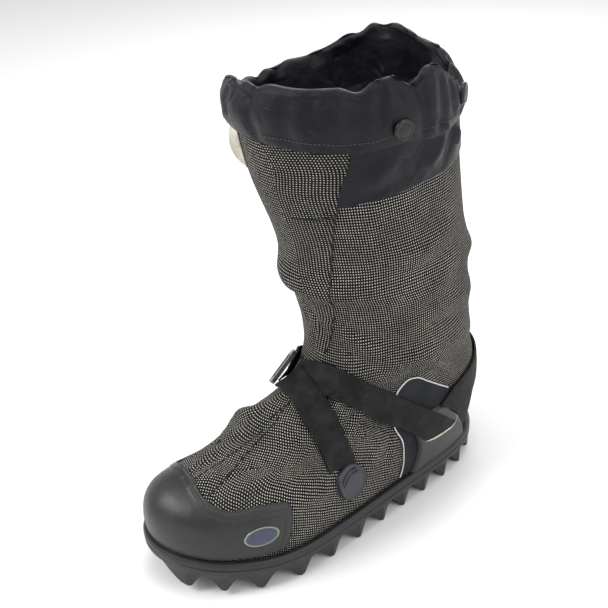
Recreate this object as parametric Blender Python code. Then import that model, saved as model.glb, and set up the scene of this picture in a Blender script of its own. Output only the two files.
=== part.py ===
"""Insulated overshoe for the left foot: a tall fabric upper on a lugged rubber outsole.

Metres, +Z up. The toe points along -Y and the heel along +Y, the outer side faces +X, the floor is
z = 0 and the middle of the sole is y = 0. Angles round the shoe start at the toe and turn to the
outer side, so 0 is the front, 90 degrees the outer side, 180 the heel and 270 the inner side.
"""
import math

import bmesh
import bpy
import numpy as np

# Driving sizes
SOLE_LENGTH = 0.330
BALL_WIDTH = 0.123
FOOT_HEIGHT = 0.154
COLLAR_HEIGHT = 0.388
SHAFT_WIDTH = 0.160
TOE_SPRING = 0.0128
TOE_RIM_LIFT = 0.0149
RIM_HEIGHT = 0.0276
RIM_WIDTH = 0.0016
RIM_LIP = 0.006
SIDE_BAND = 0.010
SIDE_STEP = 0.0012
LUG_DEPTH = 0.0108
LUG_LENGTH = 0.014
LUG_FLANK = 0.004
LUG_GAP = 0.005
UPPER_WALL = 0.003
INSOLE_THICKNESS = 0.004
INSOLE_CLEARANCE = 0.0008
SEAT_GAP = 0.0003
CAP_THICKNESS = 0.0018
CAP_BAND_WIDTH = 0.0075
CAP_BAND_STEP = 0.0007
BADGE_LENGTH = 0.030
BADGE_HEIGHT = 0.017
BADGE_THICKNESS = 0.0010
FLAP_THICKNESS = 0.0016
GAITER_THICKNESS = 0.0016
COUNTER_THICKNESS = 0.0016
WING_THICKNESS = 0.0030
SLOT_WIDTH = 0.0045
STRAP_THICKNESS = 0.0018
STRAP_CLEARANCE = 0.0009
TAB_THICKNESS = 0.0042
BUCKLE_LENGTH = 0.024
BUCKLE_WIDTH = 0.034
BUCKLE_THICKNESS = 0.0034
BUCKLE_RAIL = 0.0045
BAR_RADIUS = 0.0015
CUFF_HEIGHT = 0.044
CUFF_THICKNESS = 0.0024
CUFF_STAND_OFF = 0.0028
CUFF_TUCK = 0.030
CUFF_CROWN = 0.007
SNAP_RADIUS = 0.008
SNAP_THICKNESS = 0.0032
LOOP_THICKNESS = 0.0014
LOOP_BULGE = 0.0065

HALF_LENGTH = SOLE_LENGTH / 2
SHAFT_RISE = COLLAR_HEIGHT - FOOT_HEIGHT

# Angular columns round the shoe, and rows up it; two more rows round off the bend at the ankle
COLUMNS = 36
ROW_STEPS = [0, 1, 2, 3, 4, 5, 6, 7, 8, 9, 10, 10.5, 11, 11.5, 12, 13, 14, 15, 16.5, 18, 19.5, 21, 22]

# Rings up the shoe. Lengths are shares of half the sole's length. Heights run from 0 to 1 over the
# foot's height and from 1 to 2 over the shaft's rise.
RINGS = np.array([
    # front_y, front_h, back_y, back_h
    (-0.948, 0.240, 0.984, 0.140),
    (-0.966, 0.310, 1.008, 0.235),
    (-0.976, 0.377, 1.040, 0.325),
    (-0.966, 0.455, 1.064, 0.402),
    (-0.915, 0.523, 1.065, 0.468),
    (-0.833, 0.571, 1.066, 0.526),
    (-0.715, 0.598, 1.068, 0.584),
    (-0.582, 0.614, 1.064, 0.636),
    (-0.448, 0.669, 1.060, 0.688),
    (-0.315, 0.753, 1.049, 0.747),
    (-0.182, 0.792, 1.036, 0.818),
    (0.002, 0.850, 1.023, 0.903),
    (0.048, 1.000, 1.010, 1.010),
    (0.033, 1.114, 0.997, 1.103),
    (-0.016, 1.229, 0.984, 1.205),
    (-0.075, 1.282, 0.977, 1.270),
    (-0.066, 1.350, 0.951, 1.333),
    (-0.059, 1.410, 0.931, 1.393),
    (-0.088, 1.479, 0.910, 1.462),
    (-0.154, 1.615, 0.884, 1.598),
    (-0.209, 1.752, 0.858, 1.735),
    (-0.240, 1.880, 0.838, 1.850),
    (-0.253, 2.000, 0.824, 1.949),
])

# Half widths of the foot seen from above, as shares of the ball width, along the foot's length
PLAN = np.array([
    # share from toe, outer, inner
    (0.00, 0.000, 0.000),
    (0.03, 0.243, 0.220),
    (0.08, 0.385, 0.315),
    (0.15, 0.490, 0.380),
    (0.23, 0.557, 0.421),
    (0.31, 0.574, 0.424),
    (0.40, 0.553, 0.388),
    (0.50, 0.520, 0.337),
    (0.60, 0.485, 0.311),
    (0.70, 0.452, 0.307),
    (0.80, 0.411, 0.315),
    (0.88, 0.356, 0.293),
    (0.94, 0.276, 0.234),
    (0.98, 0.167, 0.146),
    (1.00, 0.000, 0.000),
])

# Half widths of the shaft, as shares of the shaft's width, by height
SHAFT = np.array([
    # height, outer, inner
    (0.175, 0.241, 0.229),
    (0.390, 0.278, 0.271),
    (0.584, 0.314, 0.301),
    (0.780, 0.350, 0.337),
    (0.974, 0.374, 0.367),
    (1.130, 0.396, 0.389),
    (1.280, 0.417, 0.411),
    (1.453, 0.439, 0.433),
    (1.624, 0.461, 0.456),
    (1.816, 0.489, 0.484),
    (2.020, 0.513, 0.507),
])

# The foot's plan draws in a little towards the sole and over the instep
FLARE = np.array([
    # height, factor
    (0.175, 0.955),
    (0.260, 0.985),
    (0.364, 1.000),
    (0.520, 0.990),
    (1.040, 0.900),
])

# How square the foot's cross-section is on its inner side, along the foot
INNER_CROWN = np.array([
    # y, power
    (-1.00, 1.95),
    (-0.73, 1.23),
    (-0.48, 0.90),
    (0.00, 1.70),
])
OUTER_CROWN = 2.2
SHOULDER = 0.364

# Lug tips along each side, as shares of the length from the toe; one more stands at the heel's middle
LUG_TIPS = [0.030, 0.090, 0.171, 0.277, 0.378, 0.476, 0.567, 0.650, 0.735, 0.820, 0.895, 0.960]
# Stations across one valley between two tips: share of the way, height of the side lugs, how far the
# side is cut in, and height of the bars across the middle of the tread
VALLEY = np.array([
    # way, height, cut, bar
    (0.10, 0.00, 0.00, 0.00),
    (0.36, 1.00, 1.00, 0.00),
    (0.64, 1.00, 1.00, 1.00),
    (0.90, 0.00, 0.00, 1.00),
])
VALLEY_CUT = 0.0024

# The cuff's top edge round the collar, as shares of the cuff's height above the collar's height
CUFF_RIM = np.array([
    # turn, rise
    (0.000, 0.16),
    (0.120, 0.23),
    (0.185, 0.16),
    (0.217, 0.32),
    (0.245, 0.11),
    (0.283, 0.30),
    (0.325, 0.05),
    (0.361, -0.34),
    (0.403, -0.25),
    (0.450, -0.07),
    (0.500, 0.02),
    (0.555, 0.20),
    (0.597, 0.20),
    (0.640, 0.00),
    (0.680, -0.15),
    (0.720, -0.30),
    (0.765, -0.32),
    (0.805, -0.39),
    (0.850, -0.28),
    (0.920, 0.02),
    (1.000, 0.16),
])
# The cuff's hem round the collar, as shares of the cuff's height below the collar's height
CUFF_HEM = np.array([
    # turn, drop
    (0.000, 0.72),
    (0.060, 0.78),
    (0.125, 0.86),
    (0.170, 0.89),
    (0.225, 0.84),
    (0.290, 0.93),
    (0.345, 0.86),
    (0.420, 0.78),
    (0.500, 0.84),
    (0.620, 0.90),
    (0.750, 0.84),
    (0.880, 0.88),
    (0.960, 0.72),
    (1.000, 0.72),
])
# Gathers of the cuff: troughs across it, as shares of its stand-off
CUFF_GATHERS = np.array([
    # turn, half width in turns, depth
    (0.070, 0.020, 0.45),
    (0.155, 0.025, 0.55),
    (0.255, 0.018, 0.50),
    (0.305, 0.016, 0.70),
    (0.380, 0.022, 0.60),
    (0.470, 0.020, 0.50),
    (0.580, 0.025, 0.60),
    (0.700, 0.022, 0.50),
    (0.800, 0.025, 0.60),
    (0.930, 0.020, 0.55),
])


def remove_everything():
    for thing in list(bpy.data.objects):
        bpy.data.objects.remove(thing, do_unlink=True)


def material(name, colour, roughness, metallic=0.0):
    made = bpy.data.materials.new(name)
    made.use_nodes = True
    shader = made.node_tree.nodes["Principled BSDF"]
    shader.inputs["Base Color"].default_value = (*colour, 1.0)
    shader.inputs["Roughness"].default_value = roughness
    shader.inputs["Metallic"].default_value = metallic
    return made


def solid(name, points, faces, finish, smooth=True):
    """One closed mesh object from points and faces, with its faces turned outwards. A cutter has no finish."""
    mesh = bpy.data.meshes.new(name)
    mesh.from_pydata([tuple(map(float, p)) for p in points], [], faces)
    work = bmesh.new()
    work.from_mesh(mesh)
    bmesh.ops.remove_doubles(work, verts=work.verts, dist=0.00002)
    bmesh.ops.recalc_face_normals(work, faces=work.faces)
    work.to_mesh(mesh)
    work.free()
    if smooth:
        mesh.shade_smooth()
        mesh.set_sharp_from_angle(angle=math.radians(40))
    made = bpy.data.objects.new(name, mesh)
    bpy.context.scene.collection.objects.link(made)
    if finish:
        mesh.materials.append(finish)
    return made


def curve(knots, values, at):
    """A smooth curve through the knots: cubic pieces whose slopes are the knots' mean slopes."""
    slopes = np.gradient(values, knots, axis=0)
    at = np.clip(at, knots[0], knots[-1])
    left = np.clip(np.searchsorted(knots, at, side="right") - 1, 0, len(knots) - 2)
    step = knots[left + 1] - knots[left]
    t = (at - knots[left]) / step
    if values.ndim > 1:
        t, step = t[:, None], step[:, None]
    start = (2 * t**3 - 3 * t**2 + 1) * values[left] + (t**3 - 2 * t**2 + t) * step * slopes[left]
    end = (3 * t**2 - 2 * t**3) * values[left + 1] + (t**3 - t**2) * step * slopes[left + 1]
    return start + end


def height(share):
    """Height of a share: 0 to 1 over the foot, 1 to 2 over the shaft."""
    share = np.asarray(share, float)
    return np.where(share < 1, share * FOOT_HEIGHT, FOOT_HEIGHT + (share - 1) * SHAFT_RISE)


def place(y_share, h_share):
    """A side-view point (y, z) from shares of the half length and of the heights."""
    return (y_share * HALF_LENGTH, float(height(h_share)))


def toe_lift(y):
    """Toe spring: 0 up to the ball of the foot, then a parabola to 1 at the toe's tip."""
    start = -0.36 * HALF_LENGTH
    return np.clip((start - y) / (HALF_LENGTH + start), 0, 1.05) ** 2


def tip_height(y):
    return TOE_SPRING * toe_lift(y)


def rim_height(y):
    return RIM_HEIGHT + TOE_RIM_LIFT * toe_lift(y)


def foot_half_width(share, side):
    """Half width at a share from the toe, read over the angle of a circle so both ends are round."""
    angle = np.arccos(1 - 2 * PLAN[:, 0])
    width = PLAN[:, side]
    knots = np.concatenate([-angle[3:0:-1], angle, 2 * np.pi - angle[-2:-5:-1]])
    values = np.concatenate([-width[3:0:-1], width, -width[-2:-5:-1]])
    return BALL_WIDTH * curve(knots, values, np.arccos(np.clip(1 - 2 * share, -1, 1)))


def larger(a, b, blend):
    """The larger of two widths, with a round fillet where they meet."""
    h = np.clip(0.5 + 0.5 * (a - b) / blend, 0, 1)
    return b * (1 - h) + a * h + blend * h * (1 - h)


def ring_edges(v):
    steps = np.arange(len(RINGS))
    front_y = curve(steps, RINGS[:, 0] * HALF_LENGTH, v)
    front_z = curve(steps, height(RINGS[:, 1]), v)
    back_y = curve(steps, RINGS[:, 2] * HALF_LENGTH, v)
    back_z = curve(steps, height(RINGS[:, 3]), v)
    return front_y, front_z, back_y, back_z


def cuff_rim(u):
    turn = np.mod(u / (2 * np.pi), 1.0)
    return COLLAR_HEIGHT + CUFF_HEIGHT * curve(CUFF_RIM[:, 0], CUFF_RIM[:, 1], turn)


def upper_form(v, u):
    """The upper's outer face at ring v and angle u.

    Each ring slants from its front point to its back point. Its half width is the larger of the
    foot's plan, rounded off towards the crest of the vamp, and the shaft's ellipse.
    """
    front_y, front_z, back_y, back_z = ring_edges(v)
    across = (1 - np.cos(u)) / 2
    outer = np.sin(u) >= 0
    ring_y = RINGS[:, 0] * HALF_LENGTH
    ring_z = height(RINGS[:, 1])
    z = front_z + (back_z - front_z) * across
    # the highest rings follow the cuff, and take the shaft's front and back at their own height
    reach = np.clip((v - 20) / 2, 0, 1)
    z = z + (cuff_rim(u) - CUFF_CROWN - z) * reach**1.5
    front_y = np.where(reach > 0, curve(ring_z[11:], ring_y[11:], z), front_y)
    back_y = np.where(reach > 0, curve(height(RINGS[:, 3]), RINGS[:, 2] * HALF_LENGTH, z), back_y)
    y = front_y + (back_y - front_y) * across
    tip = ring_y[2]
    crest = np.interp(np.sqrt(np.clip(y - tip, 0, None)), np.sqrt(ring_y[2:13] - tip), ring_z[2:13])
    shoulder = SHOULDER * FOOT_HEIGHT
    t = np.clip((z - shoulder) / np.maximum(crest - shoulder, 1e-6), 0, 1)
    power = np.where(outer, OUTER_CROWN, curve(INNER_CROWN[:, 0], INNER_CROWN[:, 1], y / HALF_LENGTH))
    crown = np.sqrt(np.maximum(1 - t**power, 0))
    toe_end = np.where(v < 2, front_y, tip)
    heel_end = curve(height(RINGS[:, 3]), RINGS[:, 2] * HALF_LENGTH, z)
    share = np.clip((y - toe_end) / (heel_end - toe_end), 0, 1)
    plan = np.where(outer, foot_half_width(share, 1), foot_half_width(share, 2))
    foot = plan * crown * curve(height(FLARE[:, 0]), FLARE[:, 1], z)
    shaft_heights = height(SHAFT[:, 0])
    shaft_outer = curve(shaft_heights, SHAFT[:, 1], z)
    shaft_inner = curve(shaft_heights, SHAFT[:, 2], z)
    shaft_half = SHAFT_WIDTH * np.where(outer, shaft_outer, shaft_inner)
    shaft_front = curve(ring_z[11:], ring_y[11:], z)
    middle = (shaft_front + heel_end) / 2
    ellipse = np.sqrt(np.maximum(1 - ((y - middle) / ((heel_end - shaft_front) / 2)) ** 2, 0))
    shaft = shaft_half * ellipse
    fillet_top = height(1.06)
    blend = 0.014 * np.minimum(1, ellipse * 1.5) * np.clip((fillet_top - z) / 0.040, 0, 1) + 1e-6
    half = np.where(v >= 12.5, shaft, larger(foot, shaft, blend))
    # the lowest rings settle on the sole's tray
    settle = np.clip(1 - v / 3, 0, 1)
    z = z + (rim_height(y) - RIM_LIP - z) * settle**1.5
    return np.stack([np.where(outer, half, -half), y, z], -1)


def make_grid():
    rings = np.arange(len(RINGS), dtype=float)
    angles = np.arange(COLUMNS) * 2 * np.pi / COLUMNS
    v, u = np.meshgrid(rings, angles, indexing="ij")
    points = curve(rings, upper_form(v, u).reshape(len(rings), -1), np.array(ROW_STEPS, float))
    points = points.reshape(len(ROW_STEPS), COLUMNS, 3)
    for _ in range(2):
        level = (np.roll(points, 1, 1) + np.roll(points, -1, 1)) / 2
        upright = (points[8:14] + points[10:16]) / 2
        points[9:15] += 0.25 * (level[9:15] - points[9:15]) + 0.25 * (upright - points[9:15])
    points[:, [0, COLUMNS // 2], 0] = 0
    round_step = np.roll(points, -1, 1) - np.roll(points, 1, 1)
    up_step = np.gradient(points, axis=0)
    normals = np.cross(round_step, up_step)
    normals[0, :, 2] = 0
    normals /= np.linalg.norm(normals, axis=2)[..., None]
    return points, normals


GRID, NORMALS = make_grid()
LAST_ROW = len(ROW_STEPS) - 1


def skin(row, u, offset):
    """A point over the upper's faceted face: row is a place in ROW_STEPS, u an angle, offset outwards."""
    column = np.mod(u, 2 * np.pi) * COLUMNS / (2 * np.pi)
    left = np.floor(column).astype(int) % COLUMNS
    right = (left + 1) % COLUMNS
    low = np.clip(np.floor(row).astype(int), 0, LAST_ROW - 1)
    s = (column - np.floor(column))[..., None]
    t = (row - low)[..., None]

    def mix(table):
        lower = table[low, left] * (1 - s) + table[low, right] * s
        upper = table[low + 1, left] * (1 - s) + table[low + 1, right] * s
        return lower * (1 - t) + upper * t

    return mix(GRID) + mix(NORMALS) * np.asarray(offset)[..., None]


def find(points):
    """Rows and angles of the skin points nearest to the given points: a coarse search, then steps."""
    points = np.asarray(points, float)
    rows, angles = np.meshgrid(np.linspace(0, LAST_ROW, 121), np.linspace(0, 2 * np.pi, 181), indexing="ij")
    coarse = skin(rows, angles, np.zeros(rows.shape)).reshape(-1, 3)
    best = np.array([np.argmin(((coarse - p) ** 2).sum(1)) for p in points.reshape(-1, 3)])
    row = rows.ravel()[best]
    u = angles.ravel()[best]
    target = points.reshape(-1, 3)
    for _ in range(6):
        here = skin(row, u, np.zeros(row.shape))
        along_row = (skin(row + 0.02, u, np.zeros(row.shape)) - here) / 0.02
        along_u = (skin(row, u + 0.002, np.zeros(row.shape)) - here) / 0.002
        miss = target - here
        a = (along_row**2).sum(1)
        b = (along_row * along_u).sum(1)
        c = (along_u**2).sum(1)
        p = (along_row * miss).sum(1)
        q = (along_u * miss).sum(1)
        det = a * c - b * b
        row = np.clip(row + np.clip((c * p - b * q) / det, -0.5, 0.5) * 0.8, 0, LAST_ROW)
        u = u + np.clip((a * q - b * p) / det, -0.1, 0.1) * 0.8
    return row.reshape(points.shape[:-1]), u.reshape(points.shape[:-1])


def tube_faces(rows, columns, closed):
    """Triangles of a grid of rows by columns, all cut on the same diagonal, closed round if asked."""
    faces = []
    for i in range(rows - 1):
        for j in range(columns if closed else columns - 1):
            k = (j + 1) % columns
            far = (i + 1) * columns + k
            faces.append((i * columns + j, i * columns + k, far))
            faces.append((i * columns + j, far, (i + 1) * columns + j))
    return faces


def ring_solid(name, section, finish):
    """A solid ring from a closed section carried round: section has the shape (points, columns, 3)."""
    count, columns = section.shape[:2]
    faces = [tuple(i % (count * columns) for i in face) for face in tube_faces(count + 1, columns, True)]
    return solid(name, section.reshape(-1, 3), faces, finish)


def sheet_solid(name, outer, inner, finish):
    """A solid between two open grids of the same shape."""
    rows, columns = outer.shape[:2]
    count = rows * columns
    faces = tube_faces(rows, columns, False)
    faces += [tuple(count + i for i in reversed(face)) for face in faces]
    edge = [(0, j) for j in range(columns)] + [(i, columns - 1) for i in range(1, rows)]
    edge += [(rows - 1, j) for j in range(columns - 2, -1, -1)] + [(i, 0) for i in range(rows - 2, 0, -1)]
    ids = [i * columns + j for i, j in edge]
    for a, b in zip(ids, ids[1:] + ids[:1]):
        faces.append((a, b, b + count, a + count))
    points = np.concatenate([outer.reshape(-1, 3), inner.reshape(-1, 3)])
    return solid(name, points, faces, finish)


def shell(name, rings, angles, low, high, finish, skirt=0.0):
    """A piece of the upper's own form between two offsets, on the upper's own rows and columns.

    Rings and angles (degrees) give the first and last to cover. A cutter's skirt lets its first row
    hang below the piece that it cuts.
    """
    first_column = math.floor(angles[0] * COLUMNS / 360)
    last_column = math.ceil(angles[1] * COLUMNS / 360)
    columns = np.arange(first_column, last_column + 1) % COLUMNS
    rows = [i for i, step in enumerate(ROW_STEPS) if rings[0] <= step <= rings[1]]
    base = GRID[rows][:, columns]
    base[0, :, 2] -= skirt
    away = NORMALS[rows][:, columns]
    return sheet_solid(name, base + away * high, base + away * low, finish)


def prism(name, outline, axis, start, end):
    """A hidden cutter: an outline in the plane across the axis, from start to end along it."""
    count = len(outline)
    points = []
    for depth in (start, end):
        for a, b in outline:
            points.append((depth, a, b) if axis == "x" else (a, depth, b))
    faces = [tuple(range(count)), tuple(range(2 * count - 1, count - 1, -1))]
    for i in range(count):
        k = (i + 1) % count
        faces.append((i, k, count + k, count + i))
    made = solid(name, points, faces, None, smooth=False)
    made.hide_render = True
    made.display_type = "WIRE"
    return made


def cut(piece, cutter, operation):
    step = piece.modifiers.new(cutter.name, "BOOLEAN")
    step.operation = operation
    step.object = cutter
    step.solver = "EXACT"
    return piece


def rounded(corners, radius, steps=3):
    """An outline whose corners are rounded with short arcs of quadratic curves."""
    outline = []
    count = len(corners)
    for i in range(count):
        here = np.array(corners[i])
        for_back = np.array(corners[i - 1]) - here
        for_on = np.array(corners[(i + 1) % count]) - here
        reach_back = min(radius, np.linalg.norm(for_back) / 2.2)
        reach_on = min(radius, np.linalg.norm(for_on) / 2.2)
        start = here + for_back / np.linalg.norm(for_back) * reach_back
        end = here + for_on / np.linalg.norm(for_on) * reach_on
        for t in np.linspace(0, 1, steps):
            outline.append(tuple((1 - t) ** 2 * start + 2 * t * (1 - t) * here + t * t * end))
    return outline


def band(points, width):
    """The outline of a strip of one width along a line of points."""
    line = np.array(points, float)
    along = np.gradient(line, axis=0)
    along /= np.linalg.norm(along, axis=1)[:, None]
    across = np.stack([-along[:, 1], along[:, 0]], 1) * width / 2
    return [tuple(p) for p in np.concatenate([line + across, (line - across)[::-1]])]


def moved_in(corners, depth):
    """A clockwise run of corners moved inwards by a depth, with mitred corners."""
    line = np.array(corners, float)
    along = np.diff(line, axis=0)
    along /= np.linalg.norm(along, axis=1)[:, None]
    inward = np.stack([along[:, 1], -along[:, 0]], 1)
    before = np.concatenate([inward[:1], inward])
    after = np.concatenate([inward, inward[-1:]])
    mitre = (before + after) / (1 + (before * after).sum(1))[:, None]
    return [tuple(p) for p in line + mitre * depth]


def places(rows):
    """Side-view points from rows of shares."""
    return [place(y, h) for y, h in rows]


def spots(rows):
    """Points in space from rows of shares: x of the ball width, y of the half length, z of the heights."""
    return np.array([(x * BALL_WIDTH, *place(y, h)) for x, y, h in rows])


def smooth_rows(rows, count):
    """A smooth run of points through a few rows, evenly spaced in the rows' own number."""
    steps = np.arange(len(rows))
    at = np.linspace(0, len(rows) - 1, count)
    return np.stack([curve(steps, rows[:, k], at) for k in range(rows.shape[1])], 1)


def ribbon(name, left, right, offsets, thickness, finish, steps=16, across=4):
    """Webbing over the upper: a strip between two edge lines, held off the skin row by row."""
    left_line = smooth_rows(spots(left), steps)
    right_line = smooth_rows(spots(right), steps)
    share = np.linspace(0, 1, across)[None, :, None]
    targets = left_line[:, None] * (1 - share) + right_line[:, None] * share
    row, u = find(targets)
    lift = curve(np.arange(len(offsets)), np.array(offsets, float), np.linspace(0, len(offsets) - 1, steps))
    lift = np.repeat(lift[:, None], across, 1)
    return sheet_solid(name, skin(row, u, lift + thickness), skin(row, u, lift), finish)


# The sole: a tray with a rim lip, a side band and rows of lugs, worked out at stations round the foot

def lug_stations():
    """Angles and the valley's columns at the stations round one side, from the toe's middle to the heel."""
    tips = np.arccos(1 - 2 * np.array(LUG_TIPS))
    starts = np.concatenate([[-tips[0]], tips])
    ends = np.concatenate([tips, [np.pi]])
    side = [(0.0, 1.0, 1.0, 1.0)]
    for start, end in zip(starts, ends):
        for way, *shape in VALLEY:
            angle = start + (end - start) * way
            if angle > 0:
                side.append((angle, *shape))
    return np.array(side)


def lower_edge(u):
    """The upper's lower edge at angles u, with its outward directions in plan."""
    edge = skin(np.zeros(u.shape), u, np.zeros(u.shape))
    out = skin(np.zeros(u.shape), u, np.ones(u.shape)) - edge
    return edge, out / np.linalg.norm(out, axis=1)[:, None]


def rim_edge(u):
    """The upper's outer face at the height of the rim, straight between its two lowest rows."""
    low = skin(np.zeros(u.shape), u, np.zeros(u.shape))
    high = skin(np.ones(u.shape), u, np.zeros(u.shape))
    share = (rim_height(low[:, 1]) - low[:, 2]) / (high[:, 2] - low[:, 2])
    return low + (high - low) * share[:, None]


def overlay_room(y):
    """Where the cap and the counter reach down behind the rim lip: 1 there, 0 along the arch."""
    cap_end = CAP_OUTLINE[-3][0] * HALF_LENGTH
    counter_start = COUNTER_OUTLINE[0][0] * HALF_LENGTH
    ease = 0.006
    return np.clip((cap_end + ease - y) / ease + 1, 0, 1) + np.clip((y - counter_start) / ease + 2, 0, 1)


CAP_OUTLINE = [
    # y, h
    (-1.100, 0.800),
    (-0.775, 0.800),
    (-0.772, 0.565),
    (-0.758, 0.530),
    (-0.725, 0.506),
    (-0.660, 0.495),
    (-0.435, 0.492),
    (-0.428, 0.400),
    (-0.470, 0.160),
    (-0.470, 0.050),
    (-1.100, 0.050),
]
COUNTER_OUTLINE = [
    # y, h
    (0.279, 0.050),
    (0.297, 0.227),
    (0.321, 0.305),
    (0.324, 0.377),
    (0.309, 0.474),
    (0.272, 0.565),
    (0.272, 0.660),
    (0.315, 0.745),
    (0.352, 0.797),
    (0.388, 0.818),
    (0.436, 0.806),
    (0.509, 0.750),
    (0.594, 0.678),
    (0.673, 0.612),
    (0.848, 0.570),
    (1.200, 0.560),
    (1.200, 0.050),
]


def make_outsole(finish):
    side = lug_stations()
    angles = np.concatenate([side[:, 0], -side[:0:-1, 0]])
    rise = np.concatenate([side[:, 1], side[:0:-1, 1]])
    side_cut = np.concatenate([side[:, 2], side[:0:-1, 2]])
    bar = np.concatenate([side[:, 3], side[:0:-1, 3]])
    edge, normal = lower_edge(angles)
    y = edge[:, 1]
    flare = ((rim_edge(angles) - edge) * normal).sum(1)
    spare = SEAT_GAP * (4 + 2 * toe_lift(y))
    lip = spare + (CAP_THICKNESS + CAP_BAND_STEP + SEAT_GAP) * overlay_room(y)
    outer = flare + spare + CAP_THICKNESS + CAP_BAND_STEP + SEAT_GAP + RIM_WIDTH
    rim = rim_height(y)
    floor = edge[:, 2] - SEAT_GAP
    tip = tip_height(y)
    tread = tip + LUG_DEPTH * rise
    web = tip + LUG_DEPTH
    bars = tip + LUG_DEPTH * bar
    foot_in = outer - 2 * SIDE_STEP - VALLEY_CUT * side_cut
    lug_in = outer - LUG_LENGTH
    levels = [
        (lip, floor),
        (lip + flare, rim),
        (outer, rim - SEAT_GAP),
        (outer, rim - SIDE_BAND),
        (outer - SIDE_STEP, rim - SIDE_BAND - SIDE_STEP),
        (foot_in, tread),
        (lug_in, tread),
        (lug_in - LUG_FLANK, web),
        (lug_in - LUG_FLANK - LUG_GAP, web),
        (lug_in - 2 * LUG_FLANK - LUG_GAP, bars),
    ]
    count = len(angles)
    rings = []
    for offset, z in levels:
        ring = edge + normal * offset[:, None]
        ring[:, 2] = z
        rings.append(ring)
    faces = tube_faces(len(levels), count, True)
    last = len(side) - 1
    for base, flip in ((0, False), ((len(levels) - 1) * count, True)):
        across = [(base, base + 1, base + count - 1)]
        for k in range(1, last):
            across.append((base + k, base + k + 1, base + count - k - 1, base + count - k))
        faces += [tuple(reversed(face)) if flip else face for face in across]
    return solid("outsole", np.concatenate(rings), faces, finish)


def make_insole(finish):
    angles = np.arange(COLUMNS) * 2 * np.pi / COLUMNS
    edge, normal = lower_edge(angles)
    bottom = edge - normal * (UPPER_WALL + INSOLE_CLEARANCE)
    top = bottom + (0, 0, INSOLE_THICKNESS)
    faces = tube_faces(2, COLUMNS, True)
    half = COLUMNS // 2
    for base in (0, COLUMNS):
        for k in range(half):
            corners = (base + k, base + k + 1, base + (COLUMNS - k - 1), base + (COLUMNS - k) % COLUMNS)
            faces.append(tuple(dict.fromkeys(corners)))
    return solid("insole", np.concatenate([bottom, top]), faces, finish)


def make_upper(finish):
    inner = GRID - NORMALS * UPPER_WALL
    return ring_solid("upper", np.concatenate([GRID, inner[::-1]]), finish)


def make_toe_cap(finish):
    low = SEAT_GAP
    high = SEAT_GAP + CAP_THICKNESS + CAP_BAND_STEP
    cap = shell("toe_cap", (0, 7), (-66, 66), low, high, finish)
    outline = rounded(places(CAP_OUTLINE), 0.006)
    cut(cap, prism("cap_outline", outline, "x", -BALL_WIDTH, BALL_WIDTH), "INTERSECT")
    field = shell("cap_field", (0, 7), (-66, 66), SEAT_GAP + CAP_THICKNESS, high + RIM_WIDTH, None, RIM_LIP)
    field.hide_render = True
    field.display_type = "WIRE"
    far = -1.2 * HALF_LENGTH
    edge = moved_in(places(CAP_OUTLINE[1:-1]), CAP_BAND_WIDTH)
    inner = rounded([(far, edge[0][1])] + edge + [(far, edge[-1][1])], 0.003)
    cut(field, prism("cap_field_outline", inner, "x", -BALL_WIDTH, BALL_WIDTH), "INTERSECT")
    return cut(cap, field, "DIFFERENCE")


def make_badge(finish):
    low = 2 * SEAT_GAP + CAP_THICKNESS
    badge = shell("badge", (0, 4), (25, 72), low, low + BADGE_THICKNESS, finish)
    y, z = place(-0.602, 0.352)
    turn = math.radians(-3)
    outline = []
    for angle in np.arange(24) * 2 * np.pi / 24:
        a = BADGE_LENGTH / 2 * math.cos(angle)
        b = BADGE_HEIGHT / 2 * math.sin(angle)
        outline.append((y + a * math.cos(turn) - b * math.sin(turn), z + a * math.sin(turn) + b * math.cos(turn)))
    return cut(badge, prism("badge_outline", outline, "x", 0, BALL_WIDTH), "INTERSECT")


def make_counter(finish):
    counter = shell("heel_counter", (0, 12), (92, 268), SEAT_GAP, SEAT_GAP + COUNTER_THICKNESS, finish)
    outline = rounded(places(COUNTER_OUTLINE), 0.004)
    return cut(counter, prism("counter_outline", outline, "x", -BALL_WIDTH, BALL_WIDTH), "INTERSECT")


WING_LOW = 2 * SEAT_GAP + COUNTER_THICKNESS
WING_HIGH = WING_LOW + WING_THICKNESS
WING_EDGE = [
    # y, h, from the front of its foot over the top to the rear
    (0.362, 0.200),
    (0.405, 0.262),
    (0.432, 0.340),
    (0.418, 0.440),
    (0.452, 0.512),
    (0.551, 0.546),
    (0.618, 0.530),
    (0.691, 0.440),
    (0.770, 0.330),
    (0.845, 0.215),
]
SLOT_LINE = [
    # y, h
    (0.470, 0.372),
    (0.530, 0.352),
    (0.590, 0.338),
    (0.650, 0.332),
    (0.700, 0.342),
]


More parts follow.
